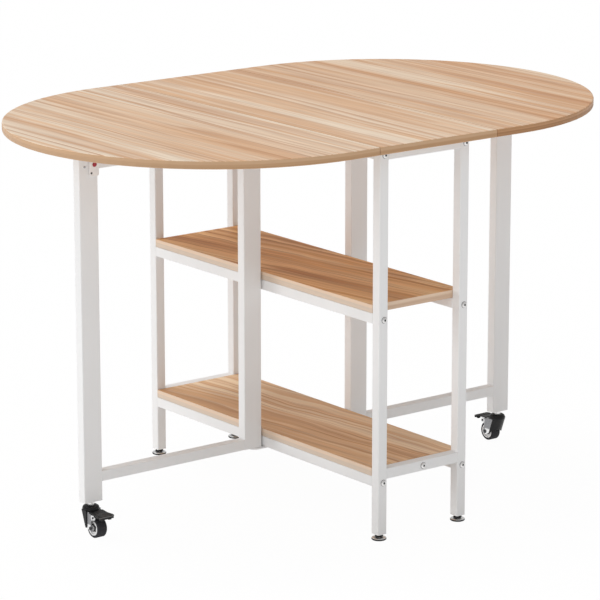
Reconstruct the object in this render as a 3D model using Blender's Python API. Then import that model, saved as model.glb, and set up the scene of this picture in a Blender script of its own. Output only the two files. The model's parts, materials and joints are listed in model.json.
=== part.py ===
"""Gate-leg folding dining table with an oval drop-leaf top, a shelf rack and two castered gates.

Metres, +Z up. The origin is on the floor under the middle of the top. X runs along the table, across the
seams of the leaves, and Y runs along the seams. The table is unchanged by a half turn about Z.
"""

import math

import bmesh
import bpy
from mathutils import Matrix

# Top
TOP_LENGTH = 1.200
TOP_WIDTH = 0.800
TABLE_HEIGHT = 0.750
TOP_THICKNESS = 0.015
PANEL_OVERHANG = 0.0319
SEAM_GAP = 0.0012
RIM_ROUND = 0.0022
SEAM_ROUND = 0.0005
ARC_STEPS = 44

# Clearances: resting pieces, running pins, the inner gate leg against the rack
REST = 0.0003
RUN = 0.0001
SWING = 0.0005

# Rack, standing in from the long edges of the top
RACK_WIDTH = 0.210
RACK_INSET = 0.040
TUBE = 0.020
TUBE_WALL = 0.0012
TUBE_ROUND = 0.0015
END_PLATE = 0.004
POST_BOTTOM = 0.011

# Shelves
SHELF_THICKNESS = 0.015
SHELF_ROUND = 0.0006
UPPER_SHELF = 0.445
LOWER_SHELF = 0.1365

# Gates, their outer legs standing in from the ends of the top
GATE_INSET = 0.082
LEG_WIDTH = 0.040
LEG_DEPTH = 0.020
TAB_PLATE = 0.003
TAB_WIDTH = 0.026
PIVOT_RADIUS = 0.005
PIVOT_DEPTH = 0.010

# Leaf hinges
HINGE_LENGTH = 0.060
HINGE_KNUCKLE = 0.024
HINGE_INSET = 0.150
HINGE_WIDTH = 0.028
HINGE_PLATE = 0.0016
HINGE_LAP = 0.0012
KNUCKLE_RADIUS = 0.003
HINGE_PIN = 0.0015
HINGE_SIDE = 0.0004

# Levelling feet
FOOT_RADIUS = 0.014
FOOT_DISC = 0.0042
FOOT_NECK = 0.0062
FOOT_STEM = 0.004
FOOT_STEM_LENGTH = 0.022

# Casters
CASTER_HEIGHT = 0.065
WHEEL_RADIUS = 0.019
WHEEL_WIDTH = 0.020
TYRE_DEPTH = 0.0045
HUB_DISH = 0.0022
HUB_RIM = 0.0026
HUB_BOSS = 0.0052
HUB_SIDE = 0.0009
WHEEL_TRAIL = 0.020
AXLE_RADIUS = 0.003
FORK_PLATE = 0.002
FORK_SIDE = 0.0030
FORK_TOP = 0.049
FORK_BOSS = 0.0065
STEM_RADIUS = 0.004
STEM_HEAD = 0.007
STEM_RISE = 0.012
NUT_RADIUS = 0.0068
CAP_RADIUS = 0.016
CAP_HEIGHT = 0.0088
CAP_RECESS = 0.0026
CHEEK_FRONT = 0.0055
CHEEK_LEAN = 0.375
CHEEK_FOOT = 0.020
CHEEK_WAIST = 0.0085
WAIST_BACK = 0.030
WAIST_HEIGHT = 0.0288
GUARD_WALL = 0.0012
GUARD_REACH = 0.0085
GUARD_FOOT = 0.018
GUARD_RISE = 0.014
GUARD_CORNER = 0.0007
GUARD_PROW = 0.0076
GUARD_PROW_WIDTH = 0.010
GUARD_ROOM = 0.0015
PEDAL_EAR = 0.005
PEDAL_PIN = 0.002
PEDAL_SLEEVE = 0.0036
PEDAL_PIN_BACK = 0.028
PEDAL_PIN_HEIGHT = 0.041
PEDAL_PLATE = 0.002
PEDAL_REACH = 0.052
PEDAL_WIDTH = 0.036
PEDAL_NECK = 0.029
PEDAL_FALL = 0.0032
PEDAL_CORNER = 0.0025
PEDAL_LIP = 0.003
PEDAL_LUG = 0.006
PEDAL_LUG_PLACE = 0.008
PEDAL_RIBS = 4

# Gate catches
CATCH_WIDTH = 0.020
CATCH_DEPTH = 0.005
CATCH_LENGTH = 0.050
CATCH_DROP = 0.0057
CATCH_ROUND = 0.004
CATCH_FLOOR = 0.0008
BUTTON_RADIUS = 0.0043
BUTTON_LENGTH = 0.0032
BUTTON_PROUD = 0.0014
BUTTON_RISE = 0.0221
BUTTON_SIDE = 0.0003

ROUND_STEPS = 20
WHEEL_STEPS = 30

# Levels and axes that follow from the sizes above
PANEL_WIDTH = RACK_WIDTH + 2.0 * PANEL_OVERHANG
RACK_LENGTH = TOP_WIDTH - 2.0 * RACK_INSET
GATE_REACH = TOP_LENGTH / 2.0 - GATE_INSET
HINGE_PLACE = TOP_WIDTH / 2.0 - HINGE_INSET
UNDERSIDE = TABLE_HEIGHT - TOP_THICKNESS
RACK_TOP = UNDERSIDE - REST
TOP_RAIL_BOTTOM = RACK_TOP - TUBE
UPPER_RAIL_BOTTOM = UPPER_SHELF - SHELF_THICKNESS - REST - TUBE
LOWER_RAIL_BOTTOM = LOWER_SHELF - SHELF_THICKNESS - REST - TUBE
GATE_TOP = TOP_RAIL_BOTTOM - TAB_PLATE - 2.0 * REST
GATE_BOTTOM = LOWER_RAIL_BOTTOM
POST_X = (RACK_WIDTH - TUBE) / 2.0
POST_Y = (RACK_LENGTH - TUBE) / 2.0
SWING_RADIUS = math.sqrt(2.0) * (LEG_DEPTH / 2.0 - TUBE_ROUND) + TUBE_ROUND
PIVOT_X = RACK_WIDTH / 2.0 + SWING_RADIUS + SWING
LEG_X = GATE_REACH - LEG_WIDTH / 2.0
SEAM_X = (PANEL_WIDTH + SEAM_GAP) / 2.0
HINGE_PLATE_BOTTOM = UNDERSIDE - REST - HINGE_PLATE
HINGE_Z = HINGE_PLATE_BOTTOM + HINGE_LAP - KNUCKLE_RADIUS
ARC_X = (TOP_LENGTH - TOP_WIDTH) / 2.0
HUB_RADIUS = WHEEL_RADIUS - TYRE_DEPTH - REST
CHEEK_INNER = WHEEL_WIDTH / 2.0 + FORK_SIDE
CHEEK_OUTER = CHEEK_INNER + FORK_PLATE
CAP_BOTTOM = FORK_TOP + REST
CAP_TOP = CAP_BOTTOM + CAP_HEIGHT
LEG_FACE = LEG_DEPTH / 2.0
CATCH_TOP = RACK_TOP - CATCH_DROP
CATCH_BOTTOM = CATCH_TOP - CATCH_LENGTH
BUTTON_HEIGHT = CATCH_BOTTOM + BUTTON_RISE


def paint(name, colour, roughness, metallic=0.0):
    """Return a plain material."""
    material = bpy.data.materials.new(name)
    material.use_nodes = True
    shader = material.node_tree.nodes["Principled BSDF"]
    shader.inputs["Base Color"].default_value = (*colour, 1.0)
    shader.inputs["Roughness"].default_value = roughness
    shader.inputs["Metallic"].default_value = metallic
    return material


def circle(radius, z, steps=ROUND_STEPS, centre=(0.0, 0.0)):
    """Return the points of a circle about Z."""
    turn = 2.0 * math.pi / steps
    x, y = centre
    return [(x + radius * math.cos(i * turn), y + radius * math.sin(i * turn), z) for i in range(steps)]


def rounded_rect(width, depth, radius, z, steps=2):
    """Return the points of a rectangle with round corners, centred on Z."""
    points = []
    for quarter in range(4):
        side_x = 1.0 if quarter in (0, 3) else -1.0
        side_y = 1.0 if quarter in (0, 1) else -1.0
        for i in range(steps + 1):
            angle = (quarter + i / steps) * math.pi / 2.0
            x = side_x * (width / 2.0 - radius) + radius * math.cos(angle)
            y = side_y * (depth / 2.0 - radius) + radius * math.sin(angle)
            points.append((x, y, z))
    return points


def quarter_round(thickness, radius, steps=2):
    """Return (inset, height) pairs up an edge whose two corners are rounded."""
    low = []
    for i in range(steps + 1):
        angle = i * math.pi / 2.0 / steps
        low.append((radius * (1.0 - math.sin(angle)), radius * (1.0 - math.cos(angle))))
    high = [(inset, thickness - height) for inset, height in reversed(low)]
    return low + high


def loft(loops, ring=False):
    """Return a mesh that joins loops of equal length, with end faces or, as a ring, without."""
    shape = bmesh.new()
    rows = [[shape.verts.new(point) for point in loop] for loop in loops]
    count = len(rows[0])
    pairs = list(zip(rows, rows[1:]))
    if ring:
        pairs.append((rows[-1], rows[0]))
    else:
        shape.faces.new(rows[0])
        shape.faces.new(rows[-1])
    for low, high in pairs:
        for i in range(count):
            after = (i + 1) % count
            shape.faces.new((low[i], low[after], high[after], high[i]))
    return finished(shape)


def finished(shape):
    """Turn the faces out and return the mesh, round faces smooth and corners sharp."""
    bmesh.ops.recalc_face_normals(shape, faces=shape.faces)
    mesh = bpy.data.meshes.new("shape")
    shape.to_mesh(mesh)
    shape.free()
    mesh.shade_smooth()
    mesh.set_sharp_from_angle(angle=math.radians(35.0))
    return mesh


def turned(profile, steps=ROUND_STEPS, ring=False):
    """Return a mesh turned about Z from (radius, height) pairs."""
    return loft([circle(radius, z, steps) for radius, z in profile], ring)


def extruded(outline, low, high):
    """Return a mesh with an (x, y) outline between two heights."""
    return loft([[(x, y, low) for x, y in outline], [(x, y, high) for x, y in outline]])


def across(outline, low, high):
    """Return a mesh with a (y, z) outline between two X places."""
    return loft([[(low, y, z) for y, z in outline], [(high, y, z) for y, z in outline]])


def block(low, high):
    """Return a box between two corners."""
    outline = [(low[0], low[1]), (high[0], low[1]), (high[0], high[1]), (low[0], high[1])]
    return extruded(outline, low[2], high[2])


def moved(mesh, matrix):
    """Move a mesh and return it."""
    mesh.transform(matrix)
    return mesh


def rod_x(radius, half_length, y, z, steps=ROUND_STEPS):
    """Return a round rod along X."""
    rod = turned([(radius, -half_length), (radius, half_length)], steps)
    return moved(rod, Matrix.Translation((0.0, y, z)) @ Matrix.Rotation(math.pi / 2.0, 4, "Y"))


def rod_y(radius, low, high, steps=ROUND_STEPS):
    """Return a round rod along Y, on the axis."""
    rod = turned([(radius, low), (radius, high)], steps)
    return moved(rod, Matrix.Rotation(-math.pi / 2.0, 4, "X"))


def combined(base, others, operation):
    """Return a mesh joined with others, with others cut out of it, or as far as it lies in others."""
    body = bpy.data.objects.new("body", base)
    bpy.context.scene.collection.objects.link(body)
    helpers = []
    for other in others:
        helper = bpy.data.objects.new("helper", other)
        helper.hide_render = True
        helper.display_type = "WIRE"
        bpy.context.scene.collection.objects.link(helper)
        step = body.modifiers.new("combine", "BOOLEAN")
        step.operation = operation
        step.solver = "EXACT"
        step.object = helper
        helpers.append(helper)
    graph = bpy.context.evaluated_depsgraph_get()
    result = bpy.data.meshes.new_from_object(body.evaluated_get(graph))
    for spare in [body, *helpers]:
        bpy.data.objects.remove(spare, do_unlink=True)
    result.shade_smooth()
    result.set_sharp_from_angle(angle=math.radians(35.0))
    return result


def fused(base, *others):
    """Return the union of meshes."""
    return combined(base, others, "UNION")


def cut(base, *others):
    """Return a mesh with others cut out of it."""
    return combined(base, others, "DIFFERENCE")


def empty(name, at, parent=None, turn=0.0):
    """Return an empty on a joint's axis."""
    handle = bpy.data.objects.new(name, None)
    handle.location = at
    handle.rotation_euler = (0.0, 0.0, turn)
    handle.parent = parent
    bpy.context.scene.collection.objects.link(handle)
    return handle


def place(name, mesh, material, parent=None, at=(0.0, 0.0, 0.0), turn=(0.0, 0.0, 0.0)):
    """Add one named piece."""
    piece = bpy.data.objects.new(name, mesh)
    piece.location = at
    piece.rotation_euler = turn
    piece.parent = parent
    if not mesh.materials:
        mesh.materials.append(material)
    bpy.context.scene.collection.objects.link(piece)
    return piece


def open_tube(width, depth, length):
    """Return a straight tube along Z, open at both ends and centred on its length."""
    inner_round = max(TUBE_ROUND - TUBE_WALL, TUBE_ROUND / 4.0)
    inner_width = width - 2.0 * TUBE_WALL
    inner_depth = depth - 2.0 * TUBE_WALL
    half = length / 2.0
    loops = [
        rounded_rect(width, depth, TUBE_ROUND, -half),
        rounded_rect(width, depth, TUBE_ROUND, half),
        rounded_rect(inner_width, inner_depth, inner_round, half),
        rounded_rect(inner_width, inner_depth, inner_round, -half),
    ]
    return loft(loops, ring=True)


def leg_tube(width, depth, length, low_bore=None, high_bore=None, open_top=False):
    """Return a tube up from Z = 0 with plated ends. A bore is (radius, x) through an end plate."""
    inner_round = max(TUBE_ROUND - TUBE_WALL, TUBE_ROUND / 4.0)
    inner_width = width - 2.0 * TUBE_WALL
    inner_depth = depth - 2.0 * TUBE_WALL
    outer = loft([rounded_rect(width, depth, TUBE_ROUND, z) for z in (0.0, length)])
    ceiling = length + END_PLATE if open_top else length - END_PLATE
    hollow = [rounded_rect(inner_width, inner_depth, inner_round, z) for z in (END_PLATE, ceiling)]
    cutters = [loft(hollow)]
    for bore, middle in ((low_bore, END_PLATE / 2.0), (high_bore, length - END_PLATE / 2.0)):
        if bore:
            radius, x = bore
            ends = (middle - END_PLATE, middle + END_PLATE)
            cutters.append(loft([circle(radius, z, centre=(x, 0.0)) for z in ends]))
    return cut(outer, *cutters)


def bore_for(radius):
    """Return the radius of a faceted bore that clears a faceted pin."""
    return (radius + RUN / 2.0) / math.cos(math.pi / ROUND_STEPS)


def panel_mesh(half_x, half_y, thickness, round_x, round_y):
    """Return a rectangular board up from Z = 0 with eased edges."""
    loops = []
    for inset, z in quarter_round(thickness, round_y):
        x = half_x - inset * round_x / round_y
        y = half_y - inset
        loops.append([(x, -y, z), (x, y, z), (-x, y, z), (-x, -y, z)])
    return loft(loops)


def leaf_mesh():
    """Return the leaf at -X, seen from its hinge axis: a straight seam, then a half circle."""
    loops = []
    rise = UNDERSIDE - HINGE_Z
    for inset, z in quarter_round(TOP_THICKNESS, RIM_ROUND):
        radius = TOP_WIDTH / 2.0 - inset
        seam = -SEAM_GAP / 2.0 - inset * SEAM_ROUND / RIM_ROUND
        loop = [(seam, -radius, z + rise), (seam, radius, z + rise)]
        for i in range(ARC_STEPS + 1):
            angle = math.pi * (0.5 + i / ARC_STEPS)
            x = SEAM_X - ARC_X + radius * math.cos(angle)
            loop.append((x, radius * math.sin(angle), z + rise))
        loops.append(loop)
    return loft(loops)


def hinge_meshes():
    """Return a leaf hinge's fixed plate with the pin, at +X of the axis, and its moving plate."""
    half = HINGE_LENGTH / 2.0
    knuckle = HINGE_KNUCKLE / 2.0
    relief = KNUCKLE_RADIUS + HINGE_SIDE
    low = HINGE_PLATE_BOTTOM - HINGE_Z
    high = low + HINGE_PLATE
    far = HINGE_WIDTH
    fixed_outline = [
        (far, -half),
        (far, half),
        (0.0, half),
        (0.0, knuckle),
        (relief, knuckle),
        (relief, -knuckle),
        (0.0, -knuckle),
        (0.0, -half),
    ]
    short = knuckle - HINGE_SIDE
    moving_outline = [
        (-far, -half),
        (-relief, -half),
        (-relief, -short),
        (0.0, -short),
        (0.0, short),
        (-relief, short),
        (-relief, half),
        (-far, half),
    ]
    fixed = fused(
        extruded(fixed_outline, low, high),
        rod_y(KNUCKLE_RADIUS, -half, -knuckle, 16),
        rod_y(KNUCKLE_RADIUS, knuckle, half, 16),
        rod_y(HINGE_PIN, -half + HINGE_SIDE, half - HINGE_SIDE),
    )
    barrel = fused(extruded(moving_outline, low, high), rod_y(KNUCKLE_RADIUS, -short, short, 16))
    moving = cut(barrel, rod_y(bore_for(HINGE_PIN), -half, half))
    return fixed, moving


def tab_mesh(facing):
    """Return a pivot tab about its pin, which faces up for 1 and down for -1. The plate lies on a rail."""
    half = TAB_WIDTH / 2.0
    inner = PIVOT_X - RACK_WIDTH / 2.0 + TUBE
    outline = [(inner, -half), (inner, half)]
    for i in range(13):
        angle = math.pi * (0.5 + i / 12.0)
        outline.append((half * math.cos(angle), half * math.sin(angle)))
    plate = extruded(outline, -TAB_PLATE, 0.0)
    pin = turned([(PIVOT_RADIUS, -TAB_PLATE / 2.0), (PIVOT_RADIUS, PIVOT_DEPTH)])
    tab = fused(plate, pin)
    if facing < 0.0:
        moved(tab, Matrix.Rotation(math.pi, 4, "X"))
    return tab


def foot_mesh():
    """Return a levelling foot on the floor: a glide, a nut and a threaded stem."""
    edge = FOOT_DISC / 4.0
    nut = POST_BOTTOM - REST
    profile = [
        (FOOT_RADIUS - edge, 0.0),
        (FOOT_RADIUS, edge),
        (FOOT_RADIUS, FOOT_DISC - edge),
        (FOOT_RADIUS - edge, FOOT_DISC),
        (FOOT_NECK, FOOT_DISC + edge),
        (FOOT_NECK, nut),
        (FOOT_STEM, nut),
        (FOOT_STEM, nut + FOOT_STEM_LENGTH),
    ]
    return turned(profile)


def tyre_mesh():
    """Return the tyre about Z, with round shoulders."""
    half = WHEEL_WIDTH / 2.0
    inner = WHEEL_RADIUS - TYRE_DEPTH
    shoulder = TYRE_DEPTH / 3.0
    profile = [
        (inner, -half),
        (WHEEL_RADIUS - shoulder, -half),
        (WHEEL_RADIUS, -half + shoulder),
        (WHEEL_RADIUS, half - shoulder),
        (WHEEL_RADIUS - shoulder, half),
        (inner, half),
    ]
    return turned(profile, WHEEL_STEPS, ring=True)


def hub_mesh():
    """Return the wheel's hub about Z: a rim, a dished web and a boss that stands out towards the cheeks."""
    half = WHEEL_WIDTH / 2.0
    web = half - HUB_DISH
    rim = HUB_RADIUS - HUB_RIM
    boss = CHEEK_INNER - HUB_SIDE
    bore = bore_for(AXLE_RADIUS)
    side = [(bore, boss), (HUB_BOSS, boss), (HUB_BOSS, web), (rim, web), (rim, half), (HUB_RADIUS, half)]
    profile = [(radius, -z) for radius, z in side] + [(radius, z) for radius, z in reversed(side)]
    return turned(profile, WHEEL_STEPS, ring=True)


def cheek_front(z):
    """Return the Y of the leaning front edge of the fork's cheeks at a height, +Y being the front."""
    return CHEEK_FRONT - (FORK_TOP - z) * CHEEK_LEAN


def fork_mesh():
    """Return the steel fork: two waisted cheeks bent down from a bored plate, with axle and pedal pin."""
    arc = []
    for i in range(7):
        angle = math.radians(-40.0 - 25.0 * i)
        arc.append((-WHEEL_TRAIL + FORK_BOSS * math.cos(angle), WHEEL_RADIUS + FORK_BOSS * math.sin(angle)))
    ear = []
    for i in range(7):
        angle = math.radians(215.0 - 25.0 * i)
        y = PEDAL_EAR * math.cos(angle) - PEDAL_PIN_BACK
        ear.append((y, PEDAL_EAR * math.sin(angle) + PEDAL_PIN_HEIGHT))
    top = FORK_TOP - FORK_PLATE / 2.0
    front = [(cheek_front(z), z) for z in (top, CHEEK_FOOT)]
    outline = front + arc + ear + [(-CAP_RADIUS, FORK_TOP - FORK_PLATE)]
    plate = block(
        (-CHEEK_OUTER + REST, -CAP_RADIUS + REST, FORK_TOP - FORK_PLATE),
        (CHEEK_OUTER - REST, cheek_front(FORK_TOP - FORK_PLATE) - REST, FORK_TOP),
    )
    body = fused(
        plate,
        across(outline, CHEEK_INNER, CHEEK_OUTER),
        across(outline, -CHEEK_OUTER, -CHEEK_INNER),
        rod_x(AXLE_RADIUS, CHEEK_OUTER + FORK_PLATE / 2.0, -WHEEL_TRAIL, WHEEL_RADIUS),
        rod_x(PEDAL_PIN, CHEEK_OUTER + FORK_PLATE / 2.0, -PEDAL_PIN_BACK, PEDAL_PIN_HEIGHT),
    )
    bore = bore_for(STEM_RADIUS)
    waist = rod_x(CHEEK_WAIST, CHEEK_OUTER + FORK_PLATE, -WAIST_BACK, WAIST_HEIGHT)
    return cut(body, turned([(bore, FORK_TOP - 3.0 * FORK_PLATE), (bore, FORK_TOP + FORK_PLATE)]), waist)


def shroud_mesh():
    """Return the black cap over the fork with the guard that wraps round the front of its cheeks."""
    bore = STEM_RADIUS + 2.0 * REST
    lip = CAP_RADIUS * 0.72
    profile = [
        (bore, CAP_BOTTOM),
        (CAP_RADIUS, CAP_BOTTOM),
        (CAP_RADIUS, CAP_BOTTOM + 0.38 * CAP_HEIGHT),
        (CAP_RADIUS * 0.92, CAP_BOTTOM + 0.75 * CAP_HEIGHT),
        (lip, CAP_TOP),
        (NUT_RADIUS + 2.0 * REST, CAP_TOP),
        (NUT_RADIUS + 2.0 * REST, CAP_TOP - CAP_RECESS),
        (bore, CAP_TOP - CAP_RECESS),
    ]
    cap = turned(profile, WHEEL_STEPS, ring=True)
    near = CHEEK_OUTER + REST
    far = near + GUARD_WALL
    loops = []
    for z in (GUARD_FOOT, CAP_BOTTOM + CAP_HEIGHT / 8.0):
        corner = cheek_front(z) + GUARD_CORNER
        right = [(far, -GUARD_REACH, z), (far, corner, z), (GUARD_PROW_WIDTH / 2.0, corner + GUARD_PROW, z)]
        loops.append(right + [(-x, y, z) for x, y, z in reversed(right)])
    behind = -2.0 * GUARD_REACH
    low = GUARD_FOOT - GUARD_WALL
    fork_room = [(behind, low), (behind, CAP_BOTTOM)]
    fork_room += [(cheek_front(z) + REST, z) for z in (CAP_BOTTOM, low)]
    under = [(behind, low), (-GUARD_REACH, GUARD_FOOT)]
    under += [(CAP_RADIUS, GUARD_FOOT + GUARD_RISE), (CAP_RADIUS, low)]
    head_foot = FORK_TOP - 2.0 * FORK_PLATE - 3.0 * REST
    hood = cut(
        loft(loops),
        across(fork_room, -near, near),
        across(under, -CAP_RADIUS, CAP_RADIUS),
        rod_x(WHEEL_RADIUS + GUARD_ROOM, CHEEK_INNER, -WHEEL_TRAIL, WHEEL_RADIUS, WHEEL_STEPS),
        turned([(STEM_HEAD + 2.0 * REST, head_foot), (STEM_HEAD + 2.0 * REST, CAP_TOP)]),
    )
    return fused(cap, hood)


def stem_mesh():
    """Return the caster's stem: a head under the fork, a shank, a nut and the end inside the leg."""
    head_top = FORK_TOP - FORK_PLATE - REST
    nut_bottom = CAP_TOP - CAP_RECESS + REST
    nut_top = CASTER_HEIGHT - REST
    profile = [
        (STEM_HEAD * 0.8, head_top - FORK_PLATE),
        (STEM_HEAD, head_top - FORK_PLATE / 2.0),
        (STEM_HEAD, head_top),
        (STEM_RADIUS, head_top),
        (STEM_RADIUS, nut_bottom),
        (NUT_RADIUS, nut_bottom),
        (NUT_RADIUS, nut_top),
        (STEM_RADIUS, nut_top),
        (STEM_RADIUS, CASTER_HEIGHT + STEM_RISE),
    ]
    return turned(profile)


def pedal_mesh():
    """Return the brake pedal about its pin: a sloping ribbed tread with a lip and two lugs, on a sleeve."""
    inner = PEDAL_PIN_BACK - CAP_RADIUS - 4.0 * REST
    outer = PEDAL_PIN_BACK - PEDAL_REACH
    high = FORK_TOP - PEDAL_PIN_HEIGHT - FORK_PLATE / 2.0
    slope = PEDAL_FALL / (inner - outer)
    narrow = PEDAL_NECK / 2.0
    wide = PEDAL_WIDTH / 2.0
    square = wide - PEDAL_CORNER
    neck = -PEDAL_SLEEVE * 1.6
    right = [
        (narrow, inner),
        (narrow, neck),
        (wide, outer + 3.0 * PEDAL_CORNER),
        (wide, outer + PEDAL_CORNER),
        (square, outer),
    ]
    plan = right + [(-x, y) for x, y in reversed(right)]
    bottom = [(x, y, high - (inner - y) * slope) for x, y in plan]
    top = [(x, y, z + PEDAL_PLATE) for x, y, z in bottom]
    root = high - PEDAL_FALL + PEDAL_PLATE / 2.0
    lip_foot = root - PEDAL_PLATE / 2.0 - PEDAL_LIP
    web = PEDAL_SLEEVE * 0.8
    pieces = [
        block((-square, outer, lip_foot), (square, outer + PEDAL_PLATE, root)),
        rod_x(PEDAL_SLEEVE, CHEEK_INNER - HUB_SIDE, 0.0, 0.0),
        block((-WHEEL_WIDTH / 3.0, -web, 0.0), (WHEEL_WIDTH / 3.0, web, high)),
    ]
    for x in (-PEDAL_LUG_PLACE, PEDAL_LUG_PLACE):
        low = (x - PEDAL_LUG / 2.0, outer + PEDAL_PLATE / 2.0, root - PEDAL_LUG)
        pieces.append(block(low, (x + PEDAL_LUG / 2.0, outer + PEDAL_LUG, root)))
    pitch = (neck - outer) / (PEDAL_RIBS + 1.0)
    for i in range(PEDAL_RIBS):
        y = neck - pitch * (i + 1.0)
        z = high - (inner - y) * slope + PEDAL_PLATE
        pieces.append(rod_x(PEDAL_PLATE / 2.0, wide * 0.72, y, z, 8))
    body = fused(loft([bottom, top]), *pieces)
    return cut(body, rod_x(bore_for(PEDAL_PIN), WHEEL_WIDTH, 0.0, 0.0))


def catch_meshes():
    """Return a catch housing against a face at Y = 0 and its button, both about the button's axis."""
    low = CATCH_BOTTOM - BUTTON_HEIGHT
    high = CATCH_TOP - BUTTON_HEIGHT
    middle = (low + high) / 2.0
    steps = quarter_round(CATCH_DEPTH, CATCH_DEPTH / 4.0)
    loops = []
    for inset, depth in steps[len(steps) // 2 - 1 :]:
        ring = rounded_rect(CATCH_WIDTH - 2.0 * inset, high - low - 2.0 * inset, CATCH_ROUND - inset, 0.0)
        loops.append([(x, -depth - REST, y + middle) for x, y, _ in ring])
    first = [(x, -REST, z) for x, _, z in loops[0]]
    housing = loft([first, *loops[1:]])
    front = -CATCH_DEPTH - REST
    pocket = rod_y(BUTTON_RADIUS + BUTTON_SIDE, front - CATCH_DEPTH, -REST - CATCH_FLOOR)
    crown = BUTTON_LENGTH / 5.0
    tip = front - BUTTON_PROUD
    profile = [
        (BUTTON_RADIUS - crown, tip),
        (BUTTON_RADIUS, tip + crown),
        (BUTTON_RADIUS, tip + BUTTON_LENGTH),
    ]
    button = moved(turned(profile), Matrix.Rotation(-math.pi / 2.0, 4, "X"))
    return cut(housing, pocket), button


for leftover in list(bpy.data.objects):
    bpy.data.objects.remove(leftover, do_unlink=True)

OAK = paint("light_oak", (0.73, 0.51, 0.34), 0.5)
SHELF_OAK = paint("shelf_oak", (0.48, 0.28, 0.16), 0.55)
WHITE = paint("white_paint", (0.83, 0.82, 0.80), 0.45)
STEEL = paint("bright_steel", (0.62, 0.62, 0.63), 0.3, 0.9)
BLACK = paint("black_plastic", (0.02, 0.02, 0.02), 0.5)
RUBBER = paint("black_rubber", (0.025, 0.025, 0.027), 0.75)
GREY = paint("grey_plastic", (0.62, 0.62, 0.62), 0.45)
DARK = paint("dark_steel", (0.07, 0.07, 0.075), 0.5, 0.4)
CATCH = paint("catch_plastic", (0.66, 0.64, 0.62), 0.5)
RED = paint("red_plastic", (0.42, 0.02, 0.04), 0.45)

# Centre panel and rack
panel = panel_mesh(PANEL_WIDTH / 2.0, TOP_WIDTH / 2.0, TOP_THICKNESS, SEAM_ROUND, RIM_ROUND)
place("centre_panel", panel, OAK, at=(0.0, 0.0, UNDERSIDE))
shelf_half = RACK_LENGTH / 2.0 - TUBE - REST
board = panel_mesh(RACK_WIDTH / 2.0, shelf_half, SHELF_THICKNESS, SHELF_ROUND, SHELF_ROUND)
place("shelf_upper", board, SHELF_OAK, at=(0.0, 0.0, UPPER_SHELF - SHELF_THICKNESS))
place("shelf_lower", board, SHELF_OAK, at=(0.0, 0.0, LOWER_SHELF - SHELF_THICKNESS))

post = leg_tube(TUBE, TUBE, RACK_TOP - POST_BOTTOM, low_bore=(bore_for(FOOT_STEM), 0.0), open_top=True)
foot = foot_mesh()
for side, x in (("left", -POST_X), ("right", POST_X)):
    for end, y in (("front", -POST_Y), ("back", POST_Y)):
        place(f"post_{end}_{side}", post, WHITE, at=(x, y, POST_BOTTOM))
        place(f"foot_{end}_{side}", foot, STEEL, parent=empty(f"foot_axis_{end}_{side}", (x, y, 0.0)))

along_x = (0.0, math.pi / 2.0, 0.0)
along_y = (math.pi / 2.0, 0.0, 0.0)
end_rail = open_tube(TUBE, TUBE, RACK_WIDTH - 2.0 * TUBE - 2.0 * REST)
long_rail = open_tube(TUBE, TUBE, RACK_LENGTH - 2.0 * TUBE - 2.0 * REST)
for end, y in (("front", -POST_Y), ("back", POST_Y)):
    for level, z in (("top", RACK_TOP - TUBE / 2.0), ("lower", LOWER_SHELF - TUBE / 2.0)):
        place(f"end_rail_{level}_{end}", end_rail, WHITE, at=(0.0, y, z), turn=along_x)
levels = (("top", TOP_RAIL_BOTTOM), ("upper", UPPER_RAIL_BOTTOM), ("lower", LOWER_RAIL_BOTTOM))
for side, x in (("left", -POST_X), ("right", POST_X)):
    for level, z in levels:
        at = (x, 0.0, z + TUBE / 2.0)
        place(f"long_rail_{level}_{side}", long_rail, WHITE, at=at, turn=along_y)

# Pieces that come once on each side, about their own axes
leaf = leaf_mesh()
hinge_fixed, hinge_moving = hinge_meshes()
tab_low = tab_mesh(1.0)
tab_high = tab_mesh(-1.0)
caster_bore = (bore_for(STEM_RADIUS), 0.0)
pivot_bore = (bore_for(PIVOT_RADIUS), (LEG_WIDTH - LEG_DEPTH) / 2.0)
outer_leg = leg_tube(LEG_WIDTH, LEG_DEPTH, RACK_TOP - CASTER_HEIGHT, low_bore=caster_bore)
inner_leg = leg_tube(LEG_WIDTH, LEG_DEPTH, GATE_TOP - GATE_BOTTOM, pivot_bore, pivot_bore)
inner_x = -(LEG_WIDTH - LEG_DEPTH) / 2.0
outer_x = PIVOT_X - LEG_X
rail_from = inner_x - LEG_WIDTH / 2.0 - REST
rail_to = outer_x + LEG_WIDTH / 2.0 + REST
gate_rail = open_tube(TUBE, LEG_DEPTH, rail_from - rail_to)
rail_x = (rail_from + rail_to) / 2.0
catch_body, catch_button = catch_meshes()
catch_x = outer_x + (LEG_WIDTH - CATCH_WIDTH) / 2.0
fork = fork_mesh()
shroud = shroud_mesh()
stem = stem_mesh()
tyre = tyre_mesh()
hub = hub_mesh()
pedal = pedal_mesh()

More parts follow.
